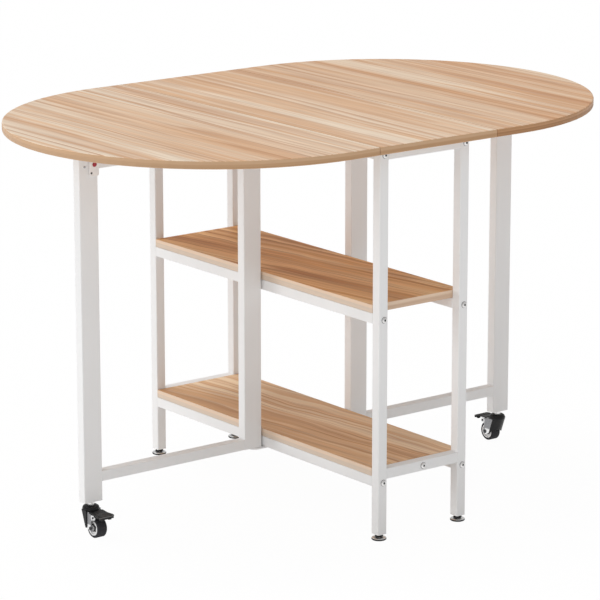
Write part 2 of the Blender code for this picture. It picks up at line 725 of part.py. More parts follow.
for side, sign, turn in (("left", -1.0, 0.0), ("right", 1.0, math.pi)):
    seam_axis = empty(f"leaf_axis_{side}", (sign * SEAM_X, 0.0, HINGE_Z), turn=turn)
    place(f"leaf_{side}", leaf, OAK, parent=seam_axis)
    for end, y in (("a", -HINGE_PLACE), ("b", HINGE_PLACE)):
        place(f"hinge_fixed_{side}_{end}", hinge_fixed, STEEL, parent=seam_axis, at=(0.0, y, 0.0))
        place(f"hinge_moving_{side}_{end}", hinge_moving, STEEL, parent=seam_axis, at=(0.0, y, 0.0))

    gate_axis = empty(f"gate_axis_{side}", (sign * PIVOT_X, 0.0, 0.0), turn=turn)
    place(f"pivot_tab_lower_{side}", tab_low, WHITE, parent=gate_axis, at=(0.0, 0.0, GATE_BOTTOM - REST))
    place(f"pivot_tab_upper_{side}", tab_high, WHITE, parent=gate_axis, at=(0.0, 0.0, GATE_TOP + REST))
    place(f"gate_inner_leg_{side}", inner_leg, WHITE, parent=gate_axis, at=(inner_x, 0.0, GATE_BOTTOM))
    place(f"gate_outer_leg_{side}", outer_leg, WHITE, parent=gate_axis, at=(outer_x, 0.0, CASTER_HEIGHT))
    for level, z in (("top", GATE_TOP - TUBE / 2.0), ("bottom", GATE_BOTTOM + TUBE / 2.0)):
        name = f"gate_{level}_rail_{side}"
        place(name, gate_rail, WHITE, parent=gate_axis, at=(rail_x, 0.0, z), turn=along_x)

    button_axis = empty(f"catch_axis_{side}", (catch_x, -LEG_FACE, BUTTON_HEIGHT), parent=gate_axis)
    place(f"catch_body_{side}", catch_body, CATCH, parent=button_axis)
    place(f"catch_button_{side}", catch_button, RED, parent=button_axis)

    swivel = empty(f"swivel_axis_{side}", (outer_x, 0.0, 0.0), parent=gate_axis)
    place(f"caster_stem_{side}", stem, STEEL, parent=swivel)
    place(f"caster_fork_{side}", fork, STEEL, parent=swivel)
    place(f"caster_shroud_{side}", shroud, BLACK, parent=swivel)
    axle = empty(f"wheel_axis_{side}", (0.0, -WHEEL_TRAIL, WHEEL_RADIUS), parent=swivel)
    place(f"caster_tyre_{side}", tyre, RUBBER, parent=axle, turn=along_x)
    place(f"caster_hub_{side}", hub, GREY, parent=axle, turn=along_x)
    pin = empty(f"pedal_axis_{side}", (0.0, -PEDAL_PIN_BACK, PEDAL_PIN_HEIGHT), parent=swivel)
    place(f"brake_pedal_{side}", pedal, DARK, parent=pin)
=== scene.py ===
"""Looks of the folding dining table: finishes, fasteners, seams, wheel covers, caster guards and a studio.

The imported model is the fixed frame. Every size is in metres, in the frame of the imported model.
"""

from __future__ import annotations

import json
import logging
import math
from abc import ABC, abstractmethod
from dataclasses import asdict, dataclass, fields, replace
from enum import Enum
from typing import Any, Sequence

import bmesh
import bpy
from mathutils import Euler, Matrix, Vector

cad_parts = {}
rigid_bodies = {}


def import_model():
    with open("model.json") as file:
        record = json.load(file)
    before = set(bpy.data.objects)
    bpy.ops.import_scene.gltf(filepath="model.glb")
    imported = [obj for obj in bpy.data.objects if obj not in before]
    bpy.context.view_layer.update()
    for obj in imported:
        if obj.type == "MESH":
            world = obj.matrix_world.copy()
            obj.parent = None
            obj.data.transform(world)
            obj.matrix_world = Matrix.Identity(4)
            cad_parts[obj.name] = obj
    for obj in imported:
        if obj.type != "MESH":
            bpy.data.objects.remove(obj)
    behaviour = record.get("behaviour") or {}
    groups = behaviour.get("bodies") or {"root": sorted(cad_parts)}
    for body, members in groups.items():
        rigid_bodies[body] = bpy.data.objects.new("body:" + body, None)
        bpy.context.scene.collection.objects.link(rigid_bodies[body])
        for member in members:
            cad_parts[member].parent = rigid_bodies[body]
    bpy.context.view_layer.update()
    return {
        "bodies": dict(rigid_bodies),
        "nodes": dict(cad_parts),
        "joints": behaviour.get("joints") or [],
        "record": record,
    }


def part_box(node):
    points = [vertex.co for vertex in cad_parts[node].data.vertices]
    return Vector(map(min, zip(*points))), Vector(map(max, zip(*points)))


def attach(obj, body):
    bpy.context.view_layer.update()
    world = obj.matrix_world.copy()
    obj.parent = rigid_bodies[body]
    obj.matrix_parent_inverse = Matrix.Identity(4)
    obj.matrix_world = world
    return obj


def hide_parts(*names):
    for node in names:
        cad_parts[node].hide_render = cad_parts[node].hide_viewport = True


LOG = logging.getLogger("folding_table")
MERGE_DISTANCE = 1e-6
NOISE_MIDDLE = 0.5
FALLING = (1.0, 0.0)
Colour = tuple[float, float, float]
Point = tuple[float, float, float]
Range = tuple[float, float]
Frame = dict[str, Any]
Socket = bpy.types.NodeSocket
Node = bpy.types.Node
Mesh = bpy.types.Mesh
Piece = bpy.types.Object


class Place(Enum):
    """A named part of the table, with the sign of its axis."""

    @property
    def word(self) -> str:
        """Return the name as the nodes and bodies spell it."""
        return self.name.lower()


class Side(Place):
    """The two sides of the table, with the sign of X."""

    LEFT = -1.0
    RIGHT = 1.0


class End(Place):
    """The two ends of the rack, with the sign of Y."""

    FRONT = -1.0
    BACK = 1.0


class Facing(Enum):
    """The way a fastener's head points, as the turn that brings +Z there."""

    MINUS_X = (0.0, -math.pi / 2.0, 0.0)
    PLUS_X = (0.0, math.pi / 2.0, 0.0)
    MINUS_Y = (math.pi / 2.0, 0.0, 0.0)
    PLUS_Y = (-math.pi / 2.0, 0.0, 0.0)
    MINUS_Z = (math.pi, 0.0, 0.0)
    PLUS_Z = (0.0, 0.0, 0.0)


class Recess(Enum):
    """The driver recess in a fastener's head, or the hole through a ring."""

    HEXAGON = "hexagon"
    CROSS = "cross"
    BORE = "bore"
    PLAIN = "plain"


@dataclass(frozen=True)
class Noise:
    """A noise: its waves for each metre along X, Y and Z, its octaves and its place."""

    scale: Point
    octaves: float
    shift: float = 0.0

    @classmethod
    def even(cls, waves: float, octaves: float, shift: float = 0.0) -> Noise:
        """Return a noise with the same waves along every axis."""
        return cls((waves, waves, waves), octaves, shift)


@dataclass(frozen=True)
class Gloss:
    """What a grain does: its range that counts, how far it takes the roughness down and up, and its bump."""

    span: Range
    less: float
    more: float
    strength: float
    depth: float = 0.0002


class NodeMaker:
    """Adds nodes to a node tree and joins them."""

    def __init__(self, tree: bpy.types.NodeTree) -> None:
        """Keep the tree that nodes are added to."""
        self.tree = tree

    def add(self, kind: str, inputs: dict[Any, Any] | None = None, **settings: Any) -> Node:
        """Add a node, set its properties and feed its inputs.

        Args:
            kind: The node's type.
            inputs: Values or sockets by input name or index.
            **settings: Properties of the node.

        Returns:
            The new node.
        """
        node = self.tree.nodes.new(kind)
        for key, value in settings.items():
            setattr(node, key, value)
        for key, value in (inputs or {}).items():
            self.feed(node.inputs[key], value)
        return node

    def feed(self, socket: Socket, value: Any) -> None:
        """Link a socket to an input, or set the input's own value.

        Args:
            socket: The input.
            value: A socket, or a plain value. A colour has three parts.
        """
        if isinstance(value, Socket):
            self.tree.links.new(value, socket)
        else:
            socket.default_value = (*value, 1.0) if socket.type == "RGBA" else value

    def math(self, operation: str, first: Any, second: Any = 0.0, clamp: bool = False) -> Socket:
        """Return the result of a Math node, held between 0 and 1 if clamp is set."""
        node = self.add("ShaderNodeMath", {0: first, 1: second}, operation=operation, use_clamp=clamp)
        return node.outputs[0]

    def mix(self, share: Any, first: Any, second: Any, blend: str = "MIX") -> Socket:
        """Return a mix of two colours with a share of the second."""
        node = self.add("ShaderNodeMix", {0: share, 6: first, 7: second}, data_type="RGBA", blend_type=blend)
        return node.outputs[2]

    def ramp(self, value: Any, span: Range, result: Range = (0.0, 1.0)) -> Socket:
        """Return a value's span mapped smoothly to another range, with the ends held."""
        inputs = {0: value, 1: span[0], 2: span[1], 3: result[0], 4: result[1]}
        return self.add("ShaderNodeMapRange", inputs, interpolation_type="SMOOTHSTEP").outputs[0]

    def axes(self, vector: Any) -> Any:
        """Return the X, Y and Z of a vector as a row of sockets."""
        return self.add("ShaderNodeSeparateXYZ", {0: vector}).outputs

    def vector(self, x: Any = 0.0, y: Any = 0.0, z: Any = 0.0) -> Socket:
        """Return a vector of three values."""
        return self.add("ShaderNodeCombineXYZ", {0: x, 1: y, 2: z}).outputs[0]


class Surface(NodeMaker):
    """The nodes of one material, with its shader and the coordinates and normal of its piece."""

    noise_roughness: float = 0.55

    def __init__(self, material: bpy.types.Material) -> None:
        """Start from the material's own shader.

        Args:
            material: The material.
        """
        material.use_nodes = True
        super().__init__(material.node_tree)
        self.shader = self.tree.nodes["Principled BSDF"]
        place = self.add("ShaderNodeTexCoord").outputs
        self.where, self.normal = place["Object"], place["Normal"]

    def give(self, looks: dict[str, Any]) -> None:
        """Feed the shader's inputs by their names."""
        for name, value in looks.items():
            self.feed(self.shader.inputs[name], value)

    def noise(self, noise: Noise, where: Any = None, shift: float = 0.0) -> Socket:
        """Add a noise that is stretched along the axes.

        Args:
            noise: The noise.
            where: The coordinates, if they aren't the piece's own.
            shift: An offset that gives another piece of the same noise.

        Returns:
            The noise's value, from 0 to 1.
        """
        at = noise.shift + shift
        where = self.where if where is None else where
        inputs = {"Vector": where, "Scale": noise.scale, "Location": (at, at, at)}
        placed = self.add("ShaderNodeMapping", inputs).outputs[0]
        inputs = {"Vector": placed, "Scale": 1.0, "Detail": noise.octaves, "Roughness": self.noise_roughness}
        return self.add("ShaderNodeTexNoise", inputs).outputs[0]

    def bump(self, grain: Socket, gloss: Gloss) -> None:
        """Raise a grain a little."""
        inputs = {"Height": grain, "Strength": gloss.strength, "Distance": gloss.depth}
        self.give({"Normal": self.add("ShaderNodeBump", inputs).outputs[0]})

    def polish(self, grain: Socket, gloss: Gloss, roughness: float) -> None:
        """Vary the roughness with a grain, and raise the grain a little.

        Args:
            grain: The grain, from 0 to 1.
            gloss: What the grain does.
            roughness: The roughness that it varies.
        """
        result = (roughness - gloss.less, roughness + gloss.more)
        self.give({"Roughness": self.ramp(grain, gloss.span, result)})
        self.bump(grain, gloss)


class Finish(ABC):
    """A procedural finish, made once and shared by the pieces that have it."""

    name: str
    slot: str = ""

    def material(self) -> bpy.types.Material:
        """Make the finish's material at the first call.

        Returns:
            The material.
        """
        material = bpy.data.materials.get(self.name)
        if not material:
            material = bpy.data.materials.new(self.name)
            self.dress(Surface(material))
        return material

    @abstractmethod
    def dress(self, on: Surface) -> None:
        """Join the finish's nodes to the shader.

        Args:
            on: The material's surface.
        """


class OakNoise(Enum):
    """The noises that make up the figure of the oak."""

    DRIFT = Noise((2.4, 1.1, 0.0), 2.0)
    WAVES = Noise((8.0, 7.0, 0.0), 1.0, 9.0)
    ZONES = Noise((5.5, 0.35, 0.0), 1.0, 52.0)
    BANDS = Noise((15.0, 0.5, 0.0), 3.0, 3.1)
    STREAKS = Noise((62.0, 0.8, 0.0), 3.0, 7.7)
    LINES = Noise((150.0, 1.1, 0.0), 3.0, 28.0)
    SHEEN = Noise((58.0, 0.7, 0.0), 3.0, 21.0)
    FIBRES = Noise((430.0, 7.0, 0.0), 3.0, 1.9)
    RING_BENDS = Noise((9.0, 0.45, 0.0), 2.0, 12.4)
    RING_FORCES = Noise((21.0, 0.6, 0.0), 2.0, 17.2)
    LAYERS = Noise((3.0, 3.0, 260.0), 2.0, 5.0)


@dataclass(frozen=True)
class OakFinish(Finish):
    """Oak laminate with its grain along Y: broad bands, streaks, dark lines, fibres and a banded edge."""

    name: str
    pale: Colour
    middle: Colour
    brown: Colour
    streak: Colour
    edge_pale: Colour
    edge_brown: Colour
    end_brown: Colour
    underside: float = 0.735
    thickness: float = 0.015
    drift: float = 0.022
    waver: float = 0.004
    lean: float = 0.0
    shift: float = 0.0
    zone_span: Range = (0.25, 0.75)
    zone_force: float = 0.09
    zone_streaks: float = 0.5
    middle_span: Range = (0.34, 0.50)
    pale_span: Range = (0.48, 0.64)
    streak_span: Range = (0.49, 0.61)
    streak_force: float = 0.85
    ring_count: float = 21.0
    ring_bend: float = 5.5
    ring_rise: Range = (0.30, 0.93)
    ring_fall: Range = (0.94, 0.995)
    ring_span: Range = (0.36, 0.66)
    ring_least: float = 0.12
    ring_force: float = 0.75
    line_start: float = 0.53
    line_width: float = 0.15
    line_force: float = 0.62
    sheen_span: Range = (0.55, 0.71)
    sheen_force: float = 0.55
    fibre_span: Range = (0.28, 0.72)
    fibre_tone: Range = (0.86, 1.08)
    upright: Range = (0.45, 0.75)
    edge_top: Range = (0.50, 0.72)
    edge_span: Range = (0.36, 0.64)
    edge_force: Range = (-0.35, 0.35)
    end_span: Range = (0.35, 0.95)
    end_force: float = 0.9
    roughness: float = 0.46
    specular: float = 0.28
    gloss: Gloss = Gloss((0.2, 0.8), 0.05, 0.08, 0.12, 0.0004)

    def dress(self, on: Surface) -> None:
        """Join the finish's nodes to the shader.

        Args:
            on: The material's surface.
        """
        grain = self.grain(on)
        fibres = self.figure(on, OakNoise.FIBRES, grain)
        normal = on.axes(on.normal)
        upright = on.ramp(on.math("ABSOLUTE", normal[2]), self.upright, FALLING)
        colour = on.mix(upright, self.face(on, grain, fibres), self.edge(on, normal[1]))
        on.give({"Base Color": colour, "Specular IOR Level": self.specular})
        on.polish(fibres, self.gloss, self.roughness)

    def figure(self, on: Surface, noise: OakNoise, where: Any = None) -> Socket:
        """Return one of the oak's noises at this board's own place."""
        return on.noise(noise.value, where, self.shift)

    def sway(self, on: Surface, noise: OakNoise, reach: float) -> Socket:
        """Return how far a noise moves the grain aside."""
        return on.math("MULTIPLY", on.math("SUBTRACT", self.figure(on, noise), NOISE_MIDDLE), reach)

    def grain(self, on: Surface) -> Socket:
        """Straighten the coordinates along the grain, which leans, drifts slowly and wavers a little.

        Args:
            on: The material's surface.

        Returns:
            The coordinates with the grain straight along Y.
        """
        drift = self.sway(on, OakNoise.DRIFT, self.drift)
        waves = self.sway(on, OakNoise.WAVES, self.waver)
        slope = on.math("MULTIPLY", on.axes(on.where)[1], self.lean)
        aside = on.math("ADD", on.math("ADD", drift, waves), slope)
        return on.add("ShaderNodeVectorMath", {0: on.where, 1: on.vector(aside)}, operation="ADD").outputs[0]

    def face(self, on: Surface, grain: Socket, fibres: Socket) -> Socket:
        """Colour the board's faces, from the broad zones and bands to the fibres.

        Args:
            on: The material's surface.
            grain: The coordinates along the grain.
            fibres: The fibres' noise.

        Returns:
            The faces' colour.
        """
        zones = self.figure(on, OakNoise.ZONES, grain)
        zones = on.ramp(zones, self.zone_span, (-self.zone_force, self.zone_force))
        bands = on.math("ADD", self.figure(on, OakNoise.BANDS, grain), zones)
        fewer = on.math("MULTIPLY", zones, self.zone_streaks)
        streaks = on.math("SUBTRACT", self.figure(on, OakNoise.STREAKS, grain), fewer)
        lines = self.figure(on, OakNoise.LINES, grain)
        line_span = (self.line_start, self.line_start + self.line_width)
        sheen = self.figure(on, OakNoise.SHEEN, grain)
        layers = (
            (on.ramp(bands, self.middle_span), self.middle),
            (on.ramp(bands, self.pale_span), self.pale),
            (on.ramp(streaks, self.streak_span, (0.0, self.streak_force)), self.brown),
            (self.rings(on, grain), self.streak),
            (on.ramp(lines, line_span, (0.0, self.line_force)), self.streak),
            (on.ramp(sheen, self.sheen_span, (0.0, self.sheen_force)), self.pale),
        )
        colour: Any = self.brown
        for share, tint in layers:
            colour = on.mix(share, colour, tint)
        tone = on.ramp(fibres, self.fibre_span, self.fibre_tone)
        return on.mix(1.0, colour, on.vector(tone, tone, tone), "MULTIPLY")

    def rings(self, on: Surface, grain: Socket) -> Socket:
        """Draw the growth rings: each darkens slowly to a thin line and breaks off.

        Args:
            on: The material's surface.
            grain: The coordinates along the grain.

        Returns:
            The share of the dark streak's colour.
        """
        across = on.math("MULTIPLY", on.axes(grain)[0], self.ring_count)
        bend = on.math("MULTIPLY", self.figure(on, OakNoise.RING_BENDS, grain), self.ring_bend)
        phase = on.math("FRACT", on.math("ADD", across, bend))
        fall = on.ramp(phase, self.ring_fall, FALLING)
        ring = on.math("MULTIPLY", on.ramp(phase, self.ring_rise), fall)
        force = self.figure(on, OakNoise.RING_FORCES, grain)
        return on.math("MULTIPLY", ring, on.ramp(force, self.ring_span, (self.ring_least, self.ring_force)))

    def edge(self, on: Surface, lengthwise: Socket) -> Socket:
        """Colour the banded edge, with a painted highlight that makes it paler near its top, and browner
        across the grain's ends.

        Args:
            on: The material's surface.
            lengthwise: The part of the normal along the grain.

        Returns:
            The edge's colour.
        """
        # The paler band near the top of the edge is a painted highlight of the rounded edge; the layers are
        # the band's own stripes.
        height = on.ramp(on.axes(on.where)[2], (self.underside, self.underside + self.thickness))
        layers = on.ramp(self.figure(on, OakNoise.LAYERS), self.edge_span, self.edge_force)
        share = on.math("ADD", on.ramp(height, self.edge_top), layers, clamp=True)
        sides = [on.mix(share, brown, self.edge_pale) for brown in (self.edge_brown, self.end_brown)]
        return on.mix(on.ramp(on.math("ABSOLUTE", lengthwise), self.end_span, (0.0, self.end_force)), *sides)


@dataclass(frozen=True)
class PaintFinish(Finish):
    """Satin powder coat: one colour with faint clouds of a second shade and a fine grain."""

    name: str
    colour: Colour
    shade: Colour
    roughness: float = 0.42
    clouds: Noise = Noise((9.0, 9.0, 4.0), 3.0, 2.0)
    cloud_span: Range = (0.3, 0.7)
    grain: Noise = Noise.even(620.0, 2.0)
    gloss: Gloss = Gloss((0.25, 0.75), 0.05, 0.06, 0.10, 0.0003)
    metallic: float = 0.0
    specular: float = 0.5
    slot: str = "white_paint"

    def dress(self, on: Surface) -> None:
        """Join the finish's nodes to the shader.

        Args:
            on: The material's surface.
        """
        share = on.ramp(on.noise(self.clouds), self.cloud_span)
        on.give({"Base Color": on.mix(share, self.shade, self.colour)})
        on.give({"Metallic": self.metallic, "Specular IOR Level": self.specular})
        on.polish(on.noise(self.grain), self.gloss, self.roughness)


@dataclass(frozen=True)
class MetalFinish(PaintFinish):
    """Bare or plated metal with drawn lines and small changes of tone."""

    clouds: Noise = Noise.even(120.0, 2.0)
    grain: Noise = Noise((900.0, 900.0, 60.0), 3.0, 4.0)
    gloss: Gloss = Gloss((0.2, 0.8), 0.08, 0.10, 0.06)
    metallic: float = 1.0
    slot: str = "bright_steel"


@dataclass(frozen=True)
class MouldedFinish(PaintFinish):
    """Moulded plastic or rubber with a fine grain."""

    clouds: Noise = Noise.even(160.0, 3.0, 6.0)
    grain: Noise = Noise.even(1300.0, 2.0)
    gloss: Gloss = Gloss((0.25, 0.75), 0.07, 0.08, 0.15)
    slot: str = "black_plastic"


@dataclass(frozen=True)
class FootFinish(Finish):
    """A levelling foot: a dark pad, a bright plated top and a dark neck, and the heights where they meet."""

    name: str
    plating: Colour
    pad: Colour
    pad_top: Range = (0.0033, 0.0035)
    neck: Range = (0.0053, 0.0055)
    pad_roughness: float = 0.7
    roughness: float = 0.32
    grain: Noise = Noise.even(700.0, 2.0)
    gloss: Gloss = Gloss((0.3, 0.7), 0.04, 0.05, 0.04)

    def dress(self, on: Surface) -> None:
        """Join the finish's nodes to the shader.

        Args:
            on: The material's surface.
        """
        height = on.axes(on.where)[2]
        bright = on.math("MULTIPLY", on.ramp(height, self.pad_top), on.ramp(height, self.neck, FALLING))
        grain = on.noise(self.grain)
        rough = on.ramp(bright, (0.0, 1.0), (self.pad_roughness, self.roughness))
        spread = on.ramp(grain, self.gloss.span, (-self.gloss.less, self.gloss.more))
        on.give({"Base Color": on.mix(bright, self.pad, self.plating), "Metallic": bright})
        on.give({"Roughness": on.math("ADD", rough, spread, clamp=True)})
        on.bump(grain, self.gloss)


@dataclass(frozen=True)
class PedalFinish(Finish):
    """A dark brake pedal with a painted highlight on its ribs and the top of its lip, found by their places
    on the pedal.
    """

    name: str
    colour: Colour
    worn: Colour
    tread_start: float = 0.0172
    tread_height: float = 0.0500
    tread_slope: float = 0.092
    rib: Range = (0.0003, 0.0007)
    lip: Range = (0.0506, 0.0512)
    lip_foot: Range = (0.0450, 0.0456)
    wear_span: Range = (0.25, 0.65)
    least_wear: float = 0.6
    roughness: float = 0.42
    specular: float = 0.3
    grain: Noise = Noise.even(800.0, 2.0)
    gloss: Gloss = Gloss((0.25, 0.75), 0.07, 0.08, 0.2)

    def dress(self, on: Surface) -> None:
        """Join the finish's nodes to the shader.

        Args:
            on: The material's surface.
        """
        _, back, height = on.axes(on.where)
        back = on.math("ABSOLUTE", back)
        fall = on.math("MULTIPLY", on.math("SUBTRACT", back, self.tread_start), self.tread_slope)
        tread = on.math("SUBTRACT", self.tread_height, fall)
        # Painted highlight along the tops of the ribs and the top of the lip, in random patches.
        ribs = on.ramp(on.math("SUBTRACT", height, tread), self.rib)
        lip = on.math("MULTIPLY", on.ramp(back, self.lip), on.ramp(height, self.lip_foot))
        grain = on.noise(self.grain)
        patches = on.ramp(grain, self.wear_span, (self.least_wear, 1.0))
        highlight_share = on.math("MULTIPLY", on.math("MAXIMUM", ribs, lip), patches)
        on.give({"Base Color": on.mix(highlight_share, self.colour, self.worn), "Specular IOR Level": self.specular})
        on.polish(grain, self.gloss, self.roughness)


@dataclass(frozen=True)
class ForkFinish(Finish):
    """A zinc-plated fork, with painted shade and a painted dark reflection on its cheeks, and a painted
    bright reflection before the axle and round the pedal's pin.
    """

    name: str
    bright: Colour
    dull: Colour
    axle_height: Range = (0.0240, 0.0275)
    axle_back: Range = (0.019, 0.021)
    pin_back: float = 0.028
    pin_height: float = 0.041
    pin_reach: Range = (0.0042, 0.0082)
    pin_force: float = 0.9
    clouds: Noise = Noise.even(420.0, 3.0)
    cloud_span: Range = (0.3, 0.7)
    cloud_force: Range = (-0.08, 0.14)
    roughness: float = 0.30
    grain: Noise = Noise((900.0, 900.0, 90.0), 3.0, 4.0)
    gloss: Gloss = Gloss((0.2, 0.8), 0.06, 0.10, 0.06)

    def dress(self, on: Surface) -> None:
        """Join the finish's nodes to the shader.

        Args:
            on: The material's surface.
        """
        _, back, height = on.axes(on.where)
        back = on.math("ABSOLUTE", back)
        # Painted bright reflection before the axle and round the pedal's pin; elsewhere the cheeks keep the
        # painted shade.
        low = on.ramp(height, self.axle_height, FALLING)
        low = on.math("MULTIPLY", low, on.ramp(back, self.axle_back, FALLING))
        along, up = on.math("SUBTRACT", back, self.pin_back), on.math("SUBTRACT", height, self.pin_height)
        squares = on.math("ADD", on.math("MULTIPLY", along, along), on.math("MULTIPLY", up, up))
        near = on.ramp(on.math("SQRT", squares), self.pin_reach, (self.pin_force, 0.0))
        clouds = on.ramp(on.noise(self.clouds), self.cloud_span, self.cloud_force)
        share = on.math("ADD", on.math("MAXIMUM", low, near), clouds, clamp=True)
        on.give({"Base Color": on.mix(share, self.dull, self.bright), "Metallic": 1.0})
        on.polish(on.noise(self.grain), self.gloss, self.roughness)


def grey(tone: float) -> Colour:
    """Return a neutral colour."""
    return (tone, tone, tone)


@dataclass(frozen=True)
class Finishes:
    """The finishes of the table."""

    oak_top: Finish = OakFinish(
        "oak_top_laminate",
        pale=(0.855, 0.70, 0.54),
        middle=(0.795, 0.59, 0.42),
        brown=(0.73, 0.45, 0.26),
        streak=(0.55, 0.275, 0.13),
        edge_pale=(0.59, 0.38, 0.225),
        edge_brown=(0.53, 0.34, 0.205),
        end_brown=(0.48, 0.278, 0.142),
    )
    oak_leaf_left: Finish = replace(oak_top, name="oak_leaf_left", shift=4.4)
    oak_leaf_right: Finish = replace(
        oak_top,
        name="oak_leaf_right",
        pale=(0.825, 0.645, 0.475),
        middle=(0.755, 0.525, 0.35),
        brown=(0.67, 0.375, 0.19),
        streak=(0.50, 0.225, 0.095),
        edge_pale=(0.52, 0.285, 0.142),
        edge_brown=(0.44, 0.24, 0.115),
        end_brown=(0.375, 0.185, 0.078),
        shift=20.3,
    )
    # The two shelves are one wood: the upper shelf's more orange, saturated colours are painted shade under
    # the top.
    oak_shelf_upper: Finish = OakFinish(
        "oak_shelf_upper",
        pale=(0.93, 0.63, 0.34),
        middle=(0.85, 0.495, 0.22),
        brown=(0.69, 0.325, 0.10),
        streak=(0.40, 0.135, 0.028),
        edge_pale=(0.79, 0.605, 0.455),
        edge_brown=(0.67, 0.55, 0.445),
        end_brown=(0.62, 0.42, 0.285),
        underside=0.430,
        ring_force=0.8,
        line_force=0.8,
        line_start=0.51,
        waver=0.024,
        lean=0.15,
        shift=31.0,
    )
    # The lower shelf's paler colours are painted light, as it lies further from the top.
    oak_shelf_lower: Finish = replace(
        oak_shelf_upper,
        name="oak_shelf_lower",
        pale=(0.93, 0.725, 0.505),
        middle=(0.855, 0.595, 0.365),
        brown=(0.725, 0.43, 0.215),
        streak=(0.49, 0.22, 0.085),
        underside=0.1215,
        waver=0.028,
        lean=0.10,
        shift=57.0,
    )
    white: Finish = PaintFinish("white_powder_coat", grey(0.85), grey(0.825))
    steel: Finish = MetalFinish("bright_zinc", (0.52, 0.52, 0.53), (0.38, 0.38, 0.39), 0.24)
    bolt: Finish = MetalFinish("nickel_bolt", (0.90, 0.89, 0.88), (0.80, 0.79, 0.78), 0.34)
    # The washers' darker grey is partly the washer and partly painted shade round the bolt heads.
    washer: Finish = MetalFinish(
        "dull_washer", (0.44, 0.44, 0.445), (0.34, 0.34, 0.345), 0.40, slot="pedal_steel"
    )
    dark_steel: Finish = MetalFinish(
        "dark_bolt", (0.10, 0.10, 0.105), (0.06, 0.06, 0.065), 0.35, slot="pedal_steel"
    )
    foot: Finish = FootFinish("plated_foot", grey(0.95), grey(0.03))
    # The fork's pale grey is a painted bright reflection and its dark grey is painted shade.
    fork: Finish = ForkFinish("zinc_fork", grey(0.93), (0.27, 0.27, 0.28))
    # The pedal's pale grey is the painted highlight of its ribs and lip.
    pedal: Finish = PedalFinish("dark_pedal", (0.013, 0.013, 0.014), grey(0.14))
    shroud: Finish = MouldedFinish(
        "black_moulding", (0.010, 0.010, 0.011), (0.006, 0.006, 0.007), 0.40, specular=0.3
    )
    rubber: Finish = MouldedFinish(
        "tyre_rubber",
        (0.020, 0.020, 0.021),
        (0.012, 0.012, 0.013),
        0.72,
        grain=Noise.even(900.0, 2.0),
        specular=0.2,
    )
    hub: Finish = MouldedFinish("grey_hub", grey(0.84), grey(0.79), 0.4)
    catch: Finish = MouldedFinish("catch_moulding", (0.88, 0.86, 0.85), (0.83, 0.81, 0.80), 0.45)
    red: Finish = MouldedFinish("red_button", (0.42, 0.018, 0.035), (0.34, 0.012, 0.025), 0.35)


@dataclass(frozen=True)
class Head:
    """The sizes of a fastener's head."""

    radius: float
    height: float
    recess: Recess = Recess.PLAIN
    recess_width: float = 0.003
    recess_depth: float = 0.0012
    sides: int = 28


@dataclass(frozen=True)
class Plate:
    """The sizes of a lobed wheel cover: its radii at the lobes and between them, thickness and bore."""

    outer: float = 0.0088
    inner: float = 0.0066
    depth: float = 0.0016
    bore: float = 0.0032
    lobes: int = 5


@dataclass(frozen=True)
class Bead:
    """The sizes of a weld seam."""

    radius: float = 0.0008
    ripple: float = 0.0002


@dataclass(frozen=True)
class Spot:
    """A place for a fastener and the way its head points."""

    at: Point
    facing: Facing
    spin: float = 0.0

    def lifted(self, height: float) -> Spot:
        """Return the same place, further out along the head's axis."""
        out = Euler(self.facing.value).to_matrix() @ Vector((0.0, 0.0, height))
        return Spot(tuple(Vector(self.at) + out), self.facing, self.spin)

    def turn(self) -> Point:
        """Return the turn as Euler angles, with the spin about the head's own axis."""
        turn = Euler(self.facing.value).to_matrix() @ Matrix.Rotation(self.spin, 3, "Z")
        return tuple(turn.to_euler())


def show(name: str, data: bpy.types.ID) -> Piece:
    """Put a mesh, a lamp or a camera in the scene.

    Args:
        name: The object's name.
        data: The mesh, the lamp or the camera.

    Returns:
        The new object, at the origin.
    """
    piece = bpy.data.objects.new(name, data)
    bpy.context.scene.collection.objects.link(piece)
    return piece


def closed_mesh(name: str, points: Sequence[Any], faces: Sequence[Sequence[int]]) -> Mesh:
    """Return a mesh with its doubled points merged and its faces turned outwards.

    Args:
        name: The mesh's name.
        points: The points.
        faces: The faces, as numbers of points.

    Returns:
        The mesh.
    """
    mesh = bpy.data.meshes.new(name)
    mesh.from_pydata(points, [], faces)
    work = bmesh.new()
    work.from_mesh(mesh)
    bmesh.ops.remove_doubles(work, verts=work.verts, dist=MERGE_DISTANCE)
    bmesh.ops.recalc_face_normals(work, faces=work.faces)
    work.to_mesh(mesh)
    work.free()
    return mesh


def finished(name: str, carrier: Piece, smooth: float) -> Piece:
    """Turn an object with a modifier into an object with a plain mesh.

    Args:
        name: The finished piece's name.
        carrier: The object with the modifier, which is removed.
        smooth: The angle in degrees past which edges stay sharp.

    Returns:
        The finished piece.
    """
    graph = bpy.context.evaluated_depsgraph_get()
    mesh = bpy.data.meshes.new_from_object(carrier.evaluated_get(graph))
    carrier.modifiers.clear()
    bpy.data.objects.remove(carrier, do_unlink=True)
    mesh.name = name
    mesh.shade_smooth()
    mesh.set_sharp_from_angle(angle=math.radians(smooth))
    return show(name, mesh)


